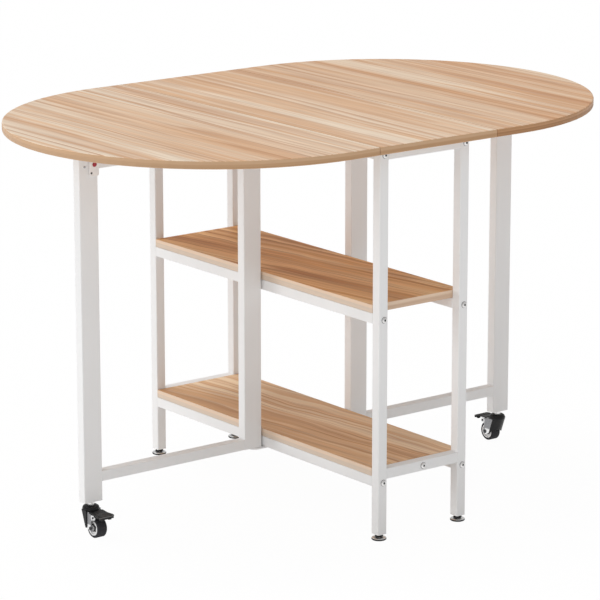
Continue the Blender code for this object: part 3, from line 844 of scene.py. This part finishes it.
class GeometryTree(NodeMaker, ABC):
    """A geometry node tree whose inputs are the fields of a size class, run once to give a plain mesh."""

    kinds: dict[str, str] = {"float": "NodeSocketFloat", "int": "NodeSocketInt"}

    def __init__(self, name: str, sizes: type) -> None:
        """Make the tree.

        Args:
            name: The tree's name.
            sizes: The size class.
        """
        super().__init__(bpy.data.node_groups.new(name, "GeometryNodeTree"))
        inputs = {"Geometry": "NodeSocketGeometry", "finish": "NodeSocketMaterial"}
        for size in fields(sizes):
            if size.type in self.kinds:
                inputs[size.name] = self.kinds[size.type]
        for socket, kind in inputs.items():
            self.tree.interface.new_socket(socket, in_out="INPUT", socket_type=kind)
        self.tree.interface.new_socket("Geometry", in_out="OUTPUT", socket_type="NodeSocketGeometry")
        self.group = self.add("NodeGroupInput")
        real = self.add("GeometryNodeRealizeInstances", {"Geometry": self.shape()})
        inputs = {"Geometry": real.outputs[0], "Material": self.size("finish")}
        dressed = self.add("GeometryNodeSetMaterial", inputs)
        self.add("NodeGroupOutput", {"Geometry": dressed.outputs[0]})

    @abstractmethod
    def shape(self) -> Socket:
        """Add the nodes that make the shape.

        Returns:
            The shape's geometry.
        """

    def size(self, name: str, share: float = 1.0) -> Socket:
        """Return one of the tree's inputs, or a share of it."""
        size = self.group.outputs[name]
        return size if share == 1.0 else self.math("MULTIPLY", size, share)

    def carve(self, body: Socket, tool: Socket) -> Socket:
        """Return a body with a tool's shape cut out of it."""
        cut = {"operation": "DIFFERENCE", "solver": "EXACT"}
        return self.add("GeometryNodeMeshBoolean", {"Mesh 1": body, "Mesh 2": tool}, **cut).outputs[0]

    def scatter(self, shape: Socket) -> Socket:
        """Put copies of a shape on the tree's points, each turned as its point says.

        Args:
            shape: The shape.

        Returns:
            The copies.
        """
        turn = self.add("GeometryNodeInputNamedAttribute", {"Name": "turn"}, data_type="FLOAT_VECTOR")
        spin = self.add("FunctionNodeEulerToRotation", {0: turn.outputs[0]})
        inputs = {"Points": self.size("Geometry"), "Instance": shape, "Rotation": spin.outputs[0]}
        return self.add("GeometryNodeInstanceOnPoints", inputs).outputs[0]

    def run(self, name: str, seed: Mesh, sizes: Any, finish: Finish, smooth: float = 32.0) -> Piece:
        """Run the tree on a mesh.

        Args:
            name: The piece's name.
            seed: The mesh that the tree starts from.
            sizes: The sizes.
            finish: The piece's finish.
            smooth: The angle in degrees past which edges stay sharp.

        Returns:
            The new object, with a plain mesh.
        """
        carrier = show(name + "_seed", seed)
        modifier = carrier.modifiers.new("shape", "NODES")
        modifier.node_group = self.tree
        values = {**asdict(sizes), "finish": finish.material()}
        for item in self.tree.interface.items_tree:
            if item.in_out == "INPUT" and item.name in values:
                modifier[item.identifier] = values[item.name]
        return finished(name, carrier, smooth)


class HeadTree(GeometryTree):
    """Fastener heads on points: a domed or many-sided head with a driver recess.

    Each step has its rise as a share of the height and how far it narrows. Each round recess has its sides
    and its radius as a share of its width.
    """

    base_height: float = 0.5
    base_taper: float = 0.94
    steps: tuple[Range, ...] = ((0.30, 0.84), (0.20, 0.76))
    round_recesses: dict[Recess, tuple[int, float]] = {Recess.HEXAGON: (6, 0.577), Recess.BORE: (24, 0.5)}
    blade_width: float = 0.24
    blade_depth: float = 2.0

    def __init__(self, recess: Recess) -> None:
        """Build the tree for one kind of recess."""
        self.recess = recess
        super().__init__(f"heads_{recess.value}", Head)

    def shape(self) -> Socket:
        """Add the heads.

        Returns:
            Their geometry.
        """
        head = self.crown()
        lift = self.vector(z=self.size("height"))
        for blade in self.blades():
            tool = self.add("GeometryNodeTransform", {"Geometry": blade, "Translation": lift})
            head = self.carve(head, tool.outputs[0])
        return self.scatter(head)

    def crown(self) -> Socket:
        """Build the head as a low cone and two steps that round it off.

        Returns:
            The head's geometry, up from Z = 0.
        """
        inputs = {
            "Vertices": self.size("sides"),
            "Radius Top": self.size("radius", self.base_taper),
            "Radius Bottom": self.size("radius"),
            "Depth": self.size("height", self.base_height),
        }
        base = self.add("GeometryNodeMeshCone", inputs)
        mesh, top = base.outputs["Mesh"], base.outputs["Top"]
        for rise, taper in self.steps:
            inputs = {"Mesh": mesh, "Selection": top, "Offset Scale": self.size("height", rise)}
            step = self.add("GeometryNodeExtrudeMesh", {**inputs, "Individual": False})
            mesh, top = step.outputs["Mesh"], step.outputs["Top"]
            inputs = {"Geometry": mesh, "Selection": top, "Scale": taper}
            mesh = self.add("GeometryNodeScaleElements", inputs).outputs[0]
        return mesh

    def blades(self) -> list[Socket]:
        """Build the tools that cut the recess: a prism or a drill, two crossed blades or none.

        Returns:
            The tools, about the middle of the head's foot.
        """
        deep = self.size("recess_depth", self.blade_depth)
        if self.recess in self.round_recesses:
            corners, share = self.round_recesses[self.recess]
            inputs = {"Vertices": corners, "Radius": self.size("recess_width", share), "Depth": deep}
            return [self.add("GeometryNodeMeshCylinder", inputs).outputs["Mesh"]]
        if self.recess is Recess.PLAIN:
            return []
        wide, thin = self.size("recess_width"), self.size("recess_width", self.blade_width)
        sizes = (self.vector(wide, thin, deep), self.vector(thin, wide, deep))
        return [self.add("GeometryNodeMeshCube", {"Size": size}).outputs["Mesh"] for size in sizes]


class SeamTree(GeometryTree):
    """Weld seams swept along closed paths, with a slight ripple."""

    step: float = 0.0012
    sides: int = 6
    ripples: float = 420.0
    ripple_octaves: float = 1.0

    def shape(self) -> Socket:
        """Add the seams.

        Returns:
            Their geometry.
        """
        path = self.add("GeometryNodeMeshToCurve", {"Mesh": self.size("Geometry")})
        inputs = {"Curve": path.outputs[0], "Length": self.step}
        dense = self.add("GeometryNodeResampleCurve", inputs, mode="LENGTH")
        inputs = {"Resolution": self.sides, "Radius": self.size("radius")}
        bead = self.add("GeometryNodeCurvePrimitiveCircle", inputs, mode="RADIUS")
        inputs = {"Curve": dense.outputs[0], "Profile Curve": bead.outputs[0]}
        swept = self.add("GeometryNodeCurveToMesh", inputs)
        place = self.add("GeometryNodeInputPosition")
        inputs = {"Vector": place.outputs[0], "Scale": self.ripples, "Detail": self.ripple_octaves}
        wave = self.add("ShaderNodeTexNoise", inputs).outputs[0]
        lift = self.math("MULTIPLY", self.math("SUBTRACT", wave, NOISE_MIDDLE), self.size("ripple"))
        inputs = {0: self.add("GeometryNodeInputNormal").outputs[0], "Scale": lift}
        push = self.add("ShaderNodeVectorMath", inputs, operation="SCALE")
        inputs = {"Geometry": swept.outputs[0], "Offset": push.outputs[0]}
        return self.add("GeometryNodeSetPosition", inputs).outputs[0]


class LobeTree(GeometryTree):
    """Lobed wheel covers on points: a filled star with round tips, raised to a plate."""

    tip_radius: float = 0.0022
    tip_steps: int = 6
    merge: float = 0.00001
    drill_sides: int = 24
    drill_depth: float = 4.0

    def shape(self) -> Socket:
        """Add the covers.

        Returns:
            Their geometry.
        """
        radii = {"Inner Radius": self.size("inner"), "Outer Radius": self.size("outer")}
        star = self.add("GeometryNodeCurveStar", {"Points": self.size("lobes"), **radii})
        inputs = {"Curve": star.outputs[0], "Radius": self.tip_radius, "Count": self.tip_steps}
        rounded = self.add("GeometryNodeFilletCurve", inputs, mode="POLY")
        flat = self.add("GeometryNodeFillCurve", {"Curve": rounded.outputs[0]}, mode="NGONS").outputs[0]
        inputs = {"Mesh": flat, "Offset Scale": self.size("depth"), "Individual": False}
        raised = self.add("GeometryNodeExtrudeMesh", inputs)
        back = self.add("GeometryNodeFlipFaces", {"Mesh": flat})
        both = self.add("GeometryNodeJoinGeometry")
        for side in (raised.outputs["Mesh"], back.outputs[0]):
            self.feed(both.inputs[0], side)
        inputs = {"Geometry": both.outputs[0], "Distance": self.merge}
        closed = self.add("GeometryNodeMergeByDistance", inputs)
        deep = self.size("depth", self.drill_depth)
        inputs = {"Vertices": self.drill_sides, "Radius": self.size("bore"), "Depth": deep}
        drill = self.add("GeometryNodeMeshCylinder", inputs)
        return self.scatter(self.carve(closed.outputs[0], drill.outputs["Mesh"]))


class Workshop:
    """Makes the repeated small pieces with the shared node trees and puts them on bodies."""

    seam_inset: float = 0.0005
    seam_bevel: float = 0.0013
    seam_smooth: float = 80.0

    def __init__(self, finishes: Finishes) -> None:
        """Build the trees.

        Args:
            finishes: The table's finishes.
        """
        self.finishes = finishes
        self.heads = {recess: HeadTree(recess) for recess in Recess}
        self.seams = SeamTree("weld_seams", Bead)
        self.lobes = LobeTree("wheel_covers", Plate)

    @staticmethod
    def settle(piece: Piece, body: str, finish: Finish) -> None:
        """Put a finished piece on its body.

        Args:
            piece: The piece.
            body: The body that it rides on.
            finish: The piece's finish; not used.
        """
        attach(piece, body)
        LOG.info("piece %s on %s: %d faces", piece.name, body, len(piece.data.polygons))

    def fasten(self, name: str, body: str, sizes: Head | Plate, finish: Finish, spots: list[Spot]) -> None:
        """Make one mesh of fastener heads or wheel covers.

        Args:
            name: The piece's name.
            body: The body that it rides on.
            sizes: The sizes of a head or of a cover.
            finish: The piece's finish.
            spots: The places.
        """
        seed = bpy.data.meshes.new(name)
        seed.from_pydata([spot.at for spot in spots], [], [])
        turns = seed.attributes.new("turn", "FLOAT_VECTOR", "POINT")
        for item, spot in zip(turns.data, spots):
            item.vector = spot.turn()
        tree = self.lobes if isinstance(sizes, Plate) else self.heads[sizes.recess]
        self.settle(tree.run(name, seed, sizes, finish), body, finish)

    def loops(self, node: str, axis: int) -> list[list[Point]]:
        """Return the paths round both ends of a square tube.

        Args:
            node: The tube's node.
            axis: The tube's own axis, 0 for X and 1 for Y.

        Returns:
            The two closed rows of points.
        """
        low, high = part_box(node)
        a0, a1 = low[1 - axis] + self.seam_inset, high[1 - axis] - self.seam_inset
        b0, b1 = low.z + self.seam_inset, high.z - self.seam_inset
        cut = self.seam_bevel
        flat = [(a0 + cut, b0), (a1 - cut, b0), (a1, b0 + cut), (a1, b1 - cut)]
        flat += [(a1 - cut, b1), (a0 + cut, b1), (a0, b1 - cut), (a0, b0 + cut)]
        ends = (low[axis], high[axis])
        return [[(at, a, b) if axis == 0 else (a, at, b) for a, b in flat] for at in ends]

    def weld(self, name: str, body: str, tubes: Sequence[tuple[str, int]]) -> None:
        """Sweep weld seams round the ends of tubes.

        Args:
            name: The piece's name.
            body: The body that it rides on.
            tubes: The tubes' nodes, each with the number of its own axis.
        """
        points: list[Point] = []
        edges: list[tuple[int, int]] = []
        for loop in (loop for node, axis in tubes for loop in self.loops(node, axis)):
            first, count = len(points), len(loop)
            points.extend(loop)
            edges.extend((first + i, first + (i + 1) % count) for i in range(count))
        seed = bpy.data.meshes.new(name)
        seed.from_pydata(points, edges, [])
        white = self.finishes.white
        self.settle(self.seams.run(name, seed, Bead(), white, self.seam_smooth), body, white)


def middle(node: str, axis: int) -> float:
    """Return the middle of a node's box along an axis."""
    low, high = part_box(node)
    return (low[axis] + high[axis]) / 2.0


def end_face(node: str, sign: float) -> tuple[float, Facing]:
    """Return the Y of a node's front face, or its back face for a positive sign, and the way it points."""
    low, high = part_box(node)
    return (low.y, Facing.MINUS_Y) if sign < 0.0 else (high.y, Facing.PLUS_Y)


def side_faces(node: str, inset: float) -> tuple[tuple[float, Facing], tuple[float, Facing]]:
    """Return the X of both side faces of a node, drawn in by an inset, and the ways that they point."""
    low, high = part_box(node)
    return (low.x + inset, Facing.MINUS_X), (high.x - inset, Facing.PLUS_X)


@dataclass
class Assembly(ABC):
    """A sub-assembly, with the frame that it dresses and the workshop that makes its small pieces."""

    frame: Frame
    workshop: Workshop

    @property
    def finishes(self) -> Finishes:
        """Return the table's finishes."""
        return self.workshop.finishes

    @abstractmethod
    def build(self) -> None:
        """Dress the assembly's nodes and add its small pieces."""

    def coat(self, node: str, finish: Finish) -> None:
        """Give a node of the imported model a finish.

        Args:
            node: The node's name.
            finish: The finish.
        """
        for slot in self.frame["nodes"][node].material_slots:
            slot.material = finish.material()
        LOG.info("node %s: %s", node, finish.name)

    def axis(self, name: str) -> Vector:
        """Return the point on a joint's axis."""
        found = next(joint for joint in self.frame["joints"] if joint["name"] == name)
        return Vector(found["pos_m"])


@dataclass
class TableTop(Assembly):
    """The centre panel, the leaves and their hinges."""

    hinges: tuple[str, str] = ("a", "b")
    hinge_plate: float = 0.0016
    screw_spread: float = 0.019
    screw_reach: float = 0.019
    fixed_spin: float = 40.0
    moving_spin: float = 70.0
    screw: Head = Head(0.0033, 0.0007, Recess.CROSS, 0.0036, 0.0005)

    def build(self) -> None:
        """Dress the panels and hinges and add the hinges' screws."""
        self.coat("centre_panel", self.finishes.oak_top)
        self.coat("leaf_left", self.finishes.oak_leaf_left)
        self.coat("leaf_right", self.finishes.oak_leaf_right)
        fixed: list[Spot] = []
        for side in Side:
            moving: list[Spot] = []
            for place in self.hinges:
                self.coat(f"hinge_fixed_{side.word}_{place}", self.finishes.steel)
                self.coat(f"hinge_moving_{side.word}_{place}", self.finishes.steel)
                fixed += self.screws(side, place, -self.screw_reach, self.fixed_spin)
                moving += self.screws(side, place, self.screw_reach, self.moving_spin)
            name = f"{side.word}_leaf_screws"
            self.workshop.fasten(name, f"{side.word}_leaf", self.screw, self.finishes.bolt, moving)
        self.workshop.fasten("panel_hinge_screws", "rack", self.screw, self.finishes.bolt, fixed)

    def screws(self, side: Side, place: str, reach: float, spin: float) -> list[Spot]:
        """Return the places of the two screws in one plate of a hinge.

        Args:
            side: The hinge's side of the table.
            place: The hinge's letter.
            reach: How far outwards the screws lie from the hinge's axis.
            spin: How far the screws' crosses are turned for each metre along the hinge.

        Returns:
            The two places.
        """
        node = f"hinge_fixed_{side.word}_{place}"
        x = self.axis(f"{side.word}_leaf_hinge").x + side.value * reach
        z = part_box(node)[1].z - self.hinge_plate
        rows = [middle(node, 1) + sign * self.screw_spread for sign in (-1.0, 1.0)]
        return [Spot((x, y, z), Facing.MINUS_Z, y * spin) for y in rows]


@dataclass
class Rack(Assembly):
    """The posts, rails, shelves, pivot tabs and levelling feet."""

    painted: tuple[str, ...] = ("post_", "end_rail_", "long_rail_", "pivot_tab_")
    levels: tuple[str, ...] = ("top", "upper", "lower")
    end_levels: tuple[str, ...] = ("top", "lower")
    bolt: Head = Head(0.0054, 0.0024, Recess.HEXAGON, 0.0044, 0.0013)
    bolt_aside: float = 0.0015
    bolt_drop: float = 0.0008
    bolt_spin: float = 0.4
    bolt_spin_step: float = 0.9
    rail_bolt_spin: float = 0.2
    washer: Head = Head(0.0063, 0.0010)
    washer_seat: float = 0.8
    # A thin dark disc at the floor of each bolt's socket: painted shade in the recess.
    socket: Head = Head(0.0024, 0.0003, sides=6)
    rivet: Head = Head(0.0058, 0.0016)
    nut: Head = Head(0.0082, 0.0044, sides=6)
    nut_foot: float = 0.0058
    nut_spin: float = 0.5

    def build(self) -> None:
        """Dress the rack and add its bolts, weld seams, rivets and nuts."""
        for node in self.frame["record"]["behaviour"]["bodies"]["rack"]:
            if node.startswith(self.painted):
                self.coat(node, self.finishes.white)
        self.coat("shelf_upper", self.finishes.oak_shelf_upper)
        self.coat("shelf_lower", self.finishes.oak_shelf_lower)
        self.bolts()
        tubes = [(f"end_rail_{level}_{end.word}", 0) for end in End for level in self.end_levels]
        tubes += [(f"long_rail_{level}_{side.word}", 1) for side in Side for level in self.levels]
        self.workshop.weld("rack_weld_seams", "rack", tubes)
        self.rivets()
        for end in End:
            for side in Side:
                self.foot(end, side)

    def bolts(self) -> None:
        """Add the bolts through the posts and the lower end rails, with their washers and a dark disc of
        painted shade at the floor of each socket.
        """
        spots: list[Spot] = []
        for end in End:
            aside = -end.value * self.bolt_aside
            for side in Side:
                post = f"post_{end.word}_{side.word}"
                face, facing = end_face(post, end.value)
                for number, level in enumerate(self.levels):
                    z = middle(f"long_rail_{level}_{side.word}", 2) - self.bolt_drop
                    spin = self.bolt_spin + number * self.bolt_spin_step + side.value
                    spots.append(Spot((middle(post, 0) + aside, face, z), facing, spin))
            rail = f"end_rail_lower_{end.word}"
            face, facing = end_face(rail, end.value)
            spots.append(Spot((aside, face, middle(rail, 2)), facing, self.rail_bolt_spin))
        seat = self.washer.height * self.washer_seat
        floor = seat + self.bolt.height - self.bolt.recess_depth
        rows = (
            # The washers' darker grey is partly painted shade round the bolt heads.
            ("rack_washers", self.washer, self.finishes.washer, 0.0),
            ("rack_bolts", self.bolt, self.finishes.bolt, seat),
            # The dark discs in the sockets are painted shade.
            ("rack_bolt_sockets", self.socket, self.finishes.shroud, floor),
        )
        for name, head, finish, height in rows:
            self.workshop.fasten(name, "rack", head, finish, [spot.lifted(height) for spot in spots])

    def rivets(self) -> None:
        """Add the riveted ends of the pivot pins."""
        spots: list[Spot] = []
        for side in Side:
            axis = self.axis(f"{side.word}_gate_swing")
            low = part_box(f"pivot_tab_lower_{side.word}")[0].z
            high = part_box(f"pivot_tab_upper_{side.word}")[1].z
            spots.append(Spot((axis.x, axis.y, low), Facing.MINUS_Z))
            spots.append(Spot((axis.x, axis.y, high), Facing.PLUS_Z))
        self.workshop.fasten("pivot_rivets", "rack", self.rivet, self.finishes.white, spots)

    def foot(self, end: End, side: Side) -> None:
        """Dress a levelling foot and add its hexagon nut.

        Args:
            end: The foot's end of the rack.
            side: The foot's side of the rack.
        """
        self.coat(f"foot_{end.word}_{side.word}", self.finishes.foot)
        body = f"{end.word}_{side.word}_foot"
        axis = self.axis(f"{body}_turn")
        spot = Spot((axis.x, axis.y, self.nut_foot), Facing.PLUS_Z, self.nut_spin + side.value)
        self.workshop.fasten(f"{body}_nut", body, self.nut, self.finishes.shroud, [spot])


@dataclass
class Gate(Assembly):
    """One swinging gate with its catch."""

    side: Side
    painted: tuple[str, ...] = ("inner_leg", "outer_leg", "top_rail", "bottom_rail")
    catch_screw: Head = Head(0.0020, 0.0009, Recess.CROSS, 0.0024, 0.0006)
    catch_screw_out: float = 0.0070
    catch_screw_up: float = 0.0068
    catch_screw_spin: float = 0.4
    leg_screw: Head = Head(0.0024, 0.0010, Recess.CROSS, 0.0028, 0.0007)
    leg_screw_out: float = 0.0185
    leg_screw_up: float = 0.0185
    leg_screw_spin: float = 0.9

    def build(self) -> None:
        """Dress the gate and its catch and add the weld seams and the screws."""
        word = self.side.word
        for piece in self.painted:
            self.coat(f"gate_{piece}_{word}", self.finishes.white)
        self.coat(f"catch_body_{word}", self.finishes.catch)
        self.coat(f"catch_button_{word}", self.finishes.red)
        tubes = [(f"gate_{level}_rail_{word}", 0) for level in ("top", "bottom")]
        self.workshop.weld(f"{word}_gate_weld_seams", f"{word}_gate", tubes)
        self.screws()

    def screws(self) -> None:
        """Add the screws of the catch, one in its housing and one in the leg."""
        word, sign = self.side.word, self.side.value
        catch = f"catch_body_{word}"
        x, z = middle(catch, 0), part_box(catch)[0].z
        face, facing = end_face(catch, sign)
        at = (x + sign * self.catch_screw_out, face, z + self.catch_screw_up)
        spots = [Spot(at, facing, self.catch_screw_spin)]
        finish = self.finishes.dark_steel
        self.workshop.fasten(f"{word}_catch_screw", f"{word}_gate", self.catch_screw, finish, spots)
        face, facing = end_face(f"gate_outer_leg_{word}", sign)
        at = (x + sign * self.leg_screw_out, face, z + self.leg_screw_up)
        spots = [Spot(at, facing, self.leg_screw_spin)]
        self.workshop.fasten(f"{word}_leg_screw", f"{word}_gate", self.leg_screw, self.finishes.steel, spots)


@dataclass
class Caster(Assembly):
    """One braked swivel caster, whose guard has one narrow side."""

    side: Side
    nut: Head = Head(0.0040, 0.0020, Recess.HEXAGON, 0.0026, 0.0011)
    nut_spin: float = 0.3
    rivet: Head = Head(0.0024, 0.0014)
    proud: float = 0.0010
    cover: Plate = Plate()
    cover_spin: float = 0.2
    dish: float = 0.0022
    spacer: Head = Head(0.0056, 0.0046, Recess.BORE, 0.0064, 0.0060)
    cheek_front: float = 0.0055
    cheek_lean: float = 0.375
    cheek_gap: float = 0.00015
    guard_hem: float = 0.0012
    guard_room: float = 0.0040
    guard_back: float = 0.0200
    guard_smooth: float = 35.0

    def build(self) -> None:
        """Dress the caster and add its fasteners, wheel covers and guard."""
        word = self.side.word
        finishes = {
            "caster_stem": self.finishes.bolt,
            "caster_fork": self.finishes.fork,
            "caster_tyre": self.finishes.rubber,
            "caster_hub": self.finishes.hub,
            "brake_pedal": self.finishes.pedal,
        }
        for node, finish in finishes.items():
            self.coat(f"{node}_{word}", finish)
        self.heads()
        self.covers()
        self.guard()

    def heads(self) -> None:
        """Add the axle's nuts and the heads of the pedal's pin."""
        word = self.side.word
        axle = self.axis(f"{word}_wheel_spin")
        pin = self.axis(f"{word}_pedal_press")
        faces = side_faces(f"caster_fork_{word}", self.proud)
        nuts = [Spot((x, axle.y, axle.z), facing, self.nut_spin) for x, facing in faces]
        pins = [Spot((x, pin.y, pin.z), facing) for x, facing in faces]
        finish = self.finishes.dark_steel
        self.workshop.fasten(f"{word}_axle_nuts", f"{word}_caster", self.nut, finish, nuts)
        self.workshop.fasten(f"{word}_pedal_rivets", f"{word}_caster", self.rivet, finish, pins)

    def covers(self) -> None:
        """Add the lobed covers and their spacers in both dishes of the wheel."""
        word = self.side.word
        axle = self.axis(f"{word}_wheel_spin")
        faces = side_faces(f"caster_tyre_{word}", self.dish)
        spots = [Spot((x, axle.y, axle.z), facing, self.cover_spin) for x, facing in faces]
        for name, sizes in (("covers", self.cover), ("spacers", self.spacer)):
            self.workshop.fasten(f"{word}_wheel_{name}", f"{word}_wheel", sizes, self.finishes.shroud, spots)

    def guard(self) -> None:
        """Put a cap and guard with one narrow side in place of the even one."""
        word = self.side.word
        node = f"caster_shroud_{word}"
        even = self.frame["nodes"][node].data
        points = [vertex.co.copy() for vertex in even.vertices]
        faces = [tuple(face.vertices) for face in even.polygons]
        carrier = show("guard_blank", closed_mesh("guard_blank", points, faces))
        cutter = show("guard_cutter", self.guard_cutter())
        change = carrier.modifiers.new("narrow_side", "BOOLEAN")
        change.operation = "DIFFERENCE"
        change.object = cutter
        piece = finished(f"{word}_caster_guard", carrier, self.guard_smooth)
        bpy.data.objects.remove(cutter, do_unlink=True)
        piece.data.materials.clear()
        piece.data.materials.append(self.finishes.shroud.material())
        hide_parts(node)
        self.workshop.settle(piece, f"{word}_caster", self.finishes.shroud)

    def guard_cutter(self) -> Mesh:
        """Build the block that leaves a hem of the guard along the leaning front of the fork's cheek.

        Returns:
            The block.
        """
        word, ahead = self.side.word, -self.side.value
        fork = f"caster_fork_{word}"
        axis = self.axis(f"{word}_caster_swivel")
        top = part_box(fork)[1].z
        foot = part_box(f"caster_shroud_{word}")[0].z - self.guard_hem
        face = side_faces(fork, self.proud)[1 if ahead > 0.0 else 0][0]
        across = (face + ahead * self.cheek_gap, face + ahead * self.guard_room)
        tip = self.cheek_front - self.guard_hem
        outline = [(tip, top), (tip - (top - foot) * self.cheek_lean, foot)]
        outline += [(-self.guard_back, foot), (-self.guard_back, top)]
        points = [(x, axis.y + ahead * y, z) for x in across for y, z in outline]
        faces = [(0, 1, 2, 3), (4, 5, 6, 7)]
        faces += [(i, (i + 1) % 4, 4 + (i + 1) % 4, 4 + i) for i in range(4)]
        return closed_mesh("guard_cutter", points, faces)


@dataclass(frozen=True)
class Lamp:
    """A broad soft lamp: its level, the direction that it stands in and how wide it looks in degrees.

    A lamp that isn't mirrored lights the object but leaves no glare on shiny faces.
    """

    name: str
    level: float
    stands: Point
    width: float
    mirrored: bool = True


@dataclass
class Studio:
    """The floor, the light and the camera, whose place and focal length give the photograph's view."""

    target: Point = (-0.00268, 0.00705, 0.37083)
    distance: float = 6.32866
    azimuth: float = -37.73
    elevation: float = 13.97
    roll: float = -0.03
    focal_pixels: float = 3297.65
    image_pixels: float = 600.0
    sensor: float = 36.0
    sight: float = 2000.0
    floor_half: float = 400.0
    floor_tone: float = 0.96
    floor_glow: float = 0.97
    sky: float = 0.52
    lamps: tuple[Lamp, ...] = (
        Lamp("overhead", 1.22, (-0.12, 0.25, 0.96), 34.0),
        Lamp("side", 0.98, (-0.68, 0.72, 0.14), 26.0, mirrored=False),
        Lamp("fill", 0.42, (-0.76, -0.46, 0.45), 50.0, mirrored=False),
    )

    def camera(self) -> None:
        """Add the camera at the photograph's viewing angle."""
        data = bpy.data.cameras.new("camera")
        data.sensor_fit = "HORIZONTAL"
        data.sensor_width = self.sensor
        data.lens = self.focal_pixels * self.sensor / self.image_pixels
        data.clip_end = self.sight
        camera = show("camera", data)
        azimuth, elevation = math.radians(self.azimuth), math.radians(self.elevation)
        level = math.cos(elevation)
        away = Vector((math.sin(azimuth) * level, -math.cos(azimuth) * level, math.sin(elevation)))
        turn = Euler((math.pi / 2.0 - elevation, 0.0, azimuth)).to_matrix()
        turn = turn @ Matrix.Rotation(math.radians(self.roll), 3, "Z")
        camera.rotation_euler = turn.to_euler()
        camera.location = Vector(self.target) + away * self.distance
        bpy.context.scene.camera = camera

    def floor(self) -> None:
        """Add the pale floor, which shows white with a faint shadow."""
        mesh = bpy.data.meshes.new("floor")
        shape = bmesh.new()
        bmesh.ops.create_grid(shape, x_segments=1, y_segments=1, size=self.floor_half)
        shape.to_mesh(mesh)
        shape.free()
        material = bpy.data.materials.new("studio_floor")
        material.use_nodes = True
        material.node_tree.nodes.clear()
        maker = NodeMaker(material.node_tree)
        matt = maker.add("ShaderNodeBsdfDiffuse", {"Color": grey(self.floor_tone)})
        glow = maker.add("ShaderNodeEmission", {"Strength": 1.0})
        rays = maker.add("ShaderNodeLightPath").outputs
        seen = maker.math("ADD", rays["Is Camera Ray"], rays["Is Glossy Ray"], clamp=True)
        seen = maker.math("ADD", seen, rays["Is Transmission Ray"], clamp=True)
        share = maker.math("MULTIPLY", seen, self.floor_glow)
        mixed = maker.add("ShaderNodeMixShader", {0: share, 1: matt.outputs[0], 2: glow.outputs[0]})
        maker.add("ShaderNodeOutputMaterial", {"Surface": mixed.outputs[0]})
        mesh.materials.append(material)
        show("floor", mesh)

    def light(self) -> None:
        """Add the soft sky and the broad lamps."""
        world = bpy.data.worlds.new("studio")
        world.use_nodes = True
        background = world.node_tree.nodes["Background"]
        background.inputs["Color"].default_value = (1.0, 1.0, 1.0, 1.0)
        background.inputs["Strength"].default_value = self.sky
        bpy.context.scene.world = world
        for lamp in self.lamps:
            data = bpy.data.lights.new(lamp.name, "SUN")
            data.energy = lamp.level
            data.angle = math.radians(lamp.width)
            source = show(lamp.name, data)
            source.rotation_euler = Vector(lamp.stands).to_track_quat("Z", "Y").to_euler()
            source.visible_glossy = lamp.mirrored

    def build(self) -> None:
        """Build the studio."""
        bpy.context.scene.view_settings.view_transform = "Standard"
        self.camera()
        self.floor()
        self.light()


def clear_scene() -> None:
    """Remove the objects of the start scene."""
    for leftover in list(bpy.data.objects):
        bpy.data.objects.remove(leftover, do_unlink=True)


def main() -> None:
    """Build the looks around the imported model."""
    logging.basicConfig(level=logging.INFO, format="%(message)s")
    clear_scene()
    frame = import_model()
    Studio().build()
    workshop = Workshop(Finishes())
    assemblies: list[Assembly] = [TableTop(frame, workshop), Rack(frame, workshop)]
    for side in Side:
        assemblies += [Gate(frame, workshop, side), Caster(frame, workshop, side)]
    for assembly in assemblies:
        assembly.build()


if __name__ == "__main__":
    main()
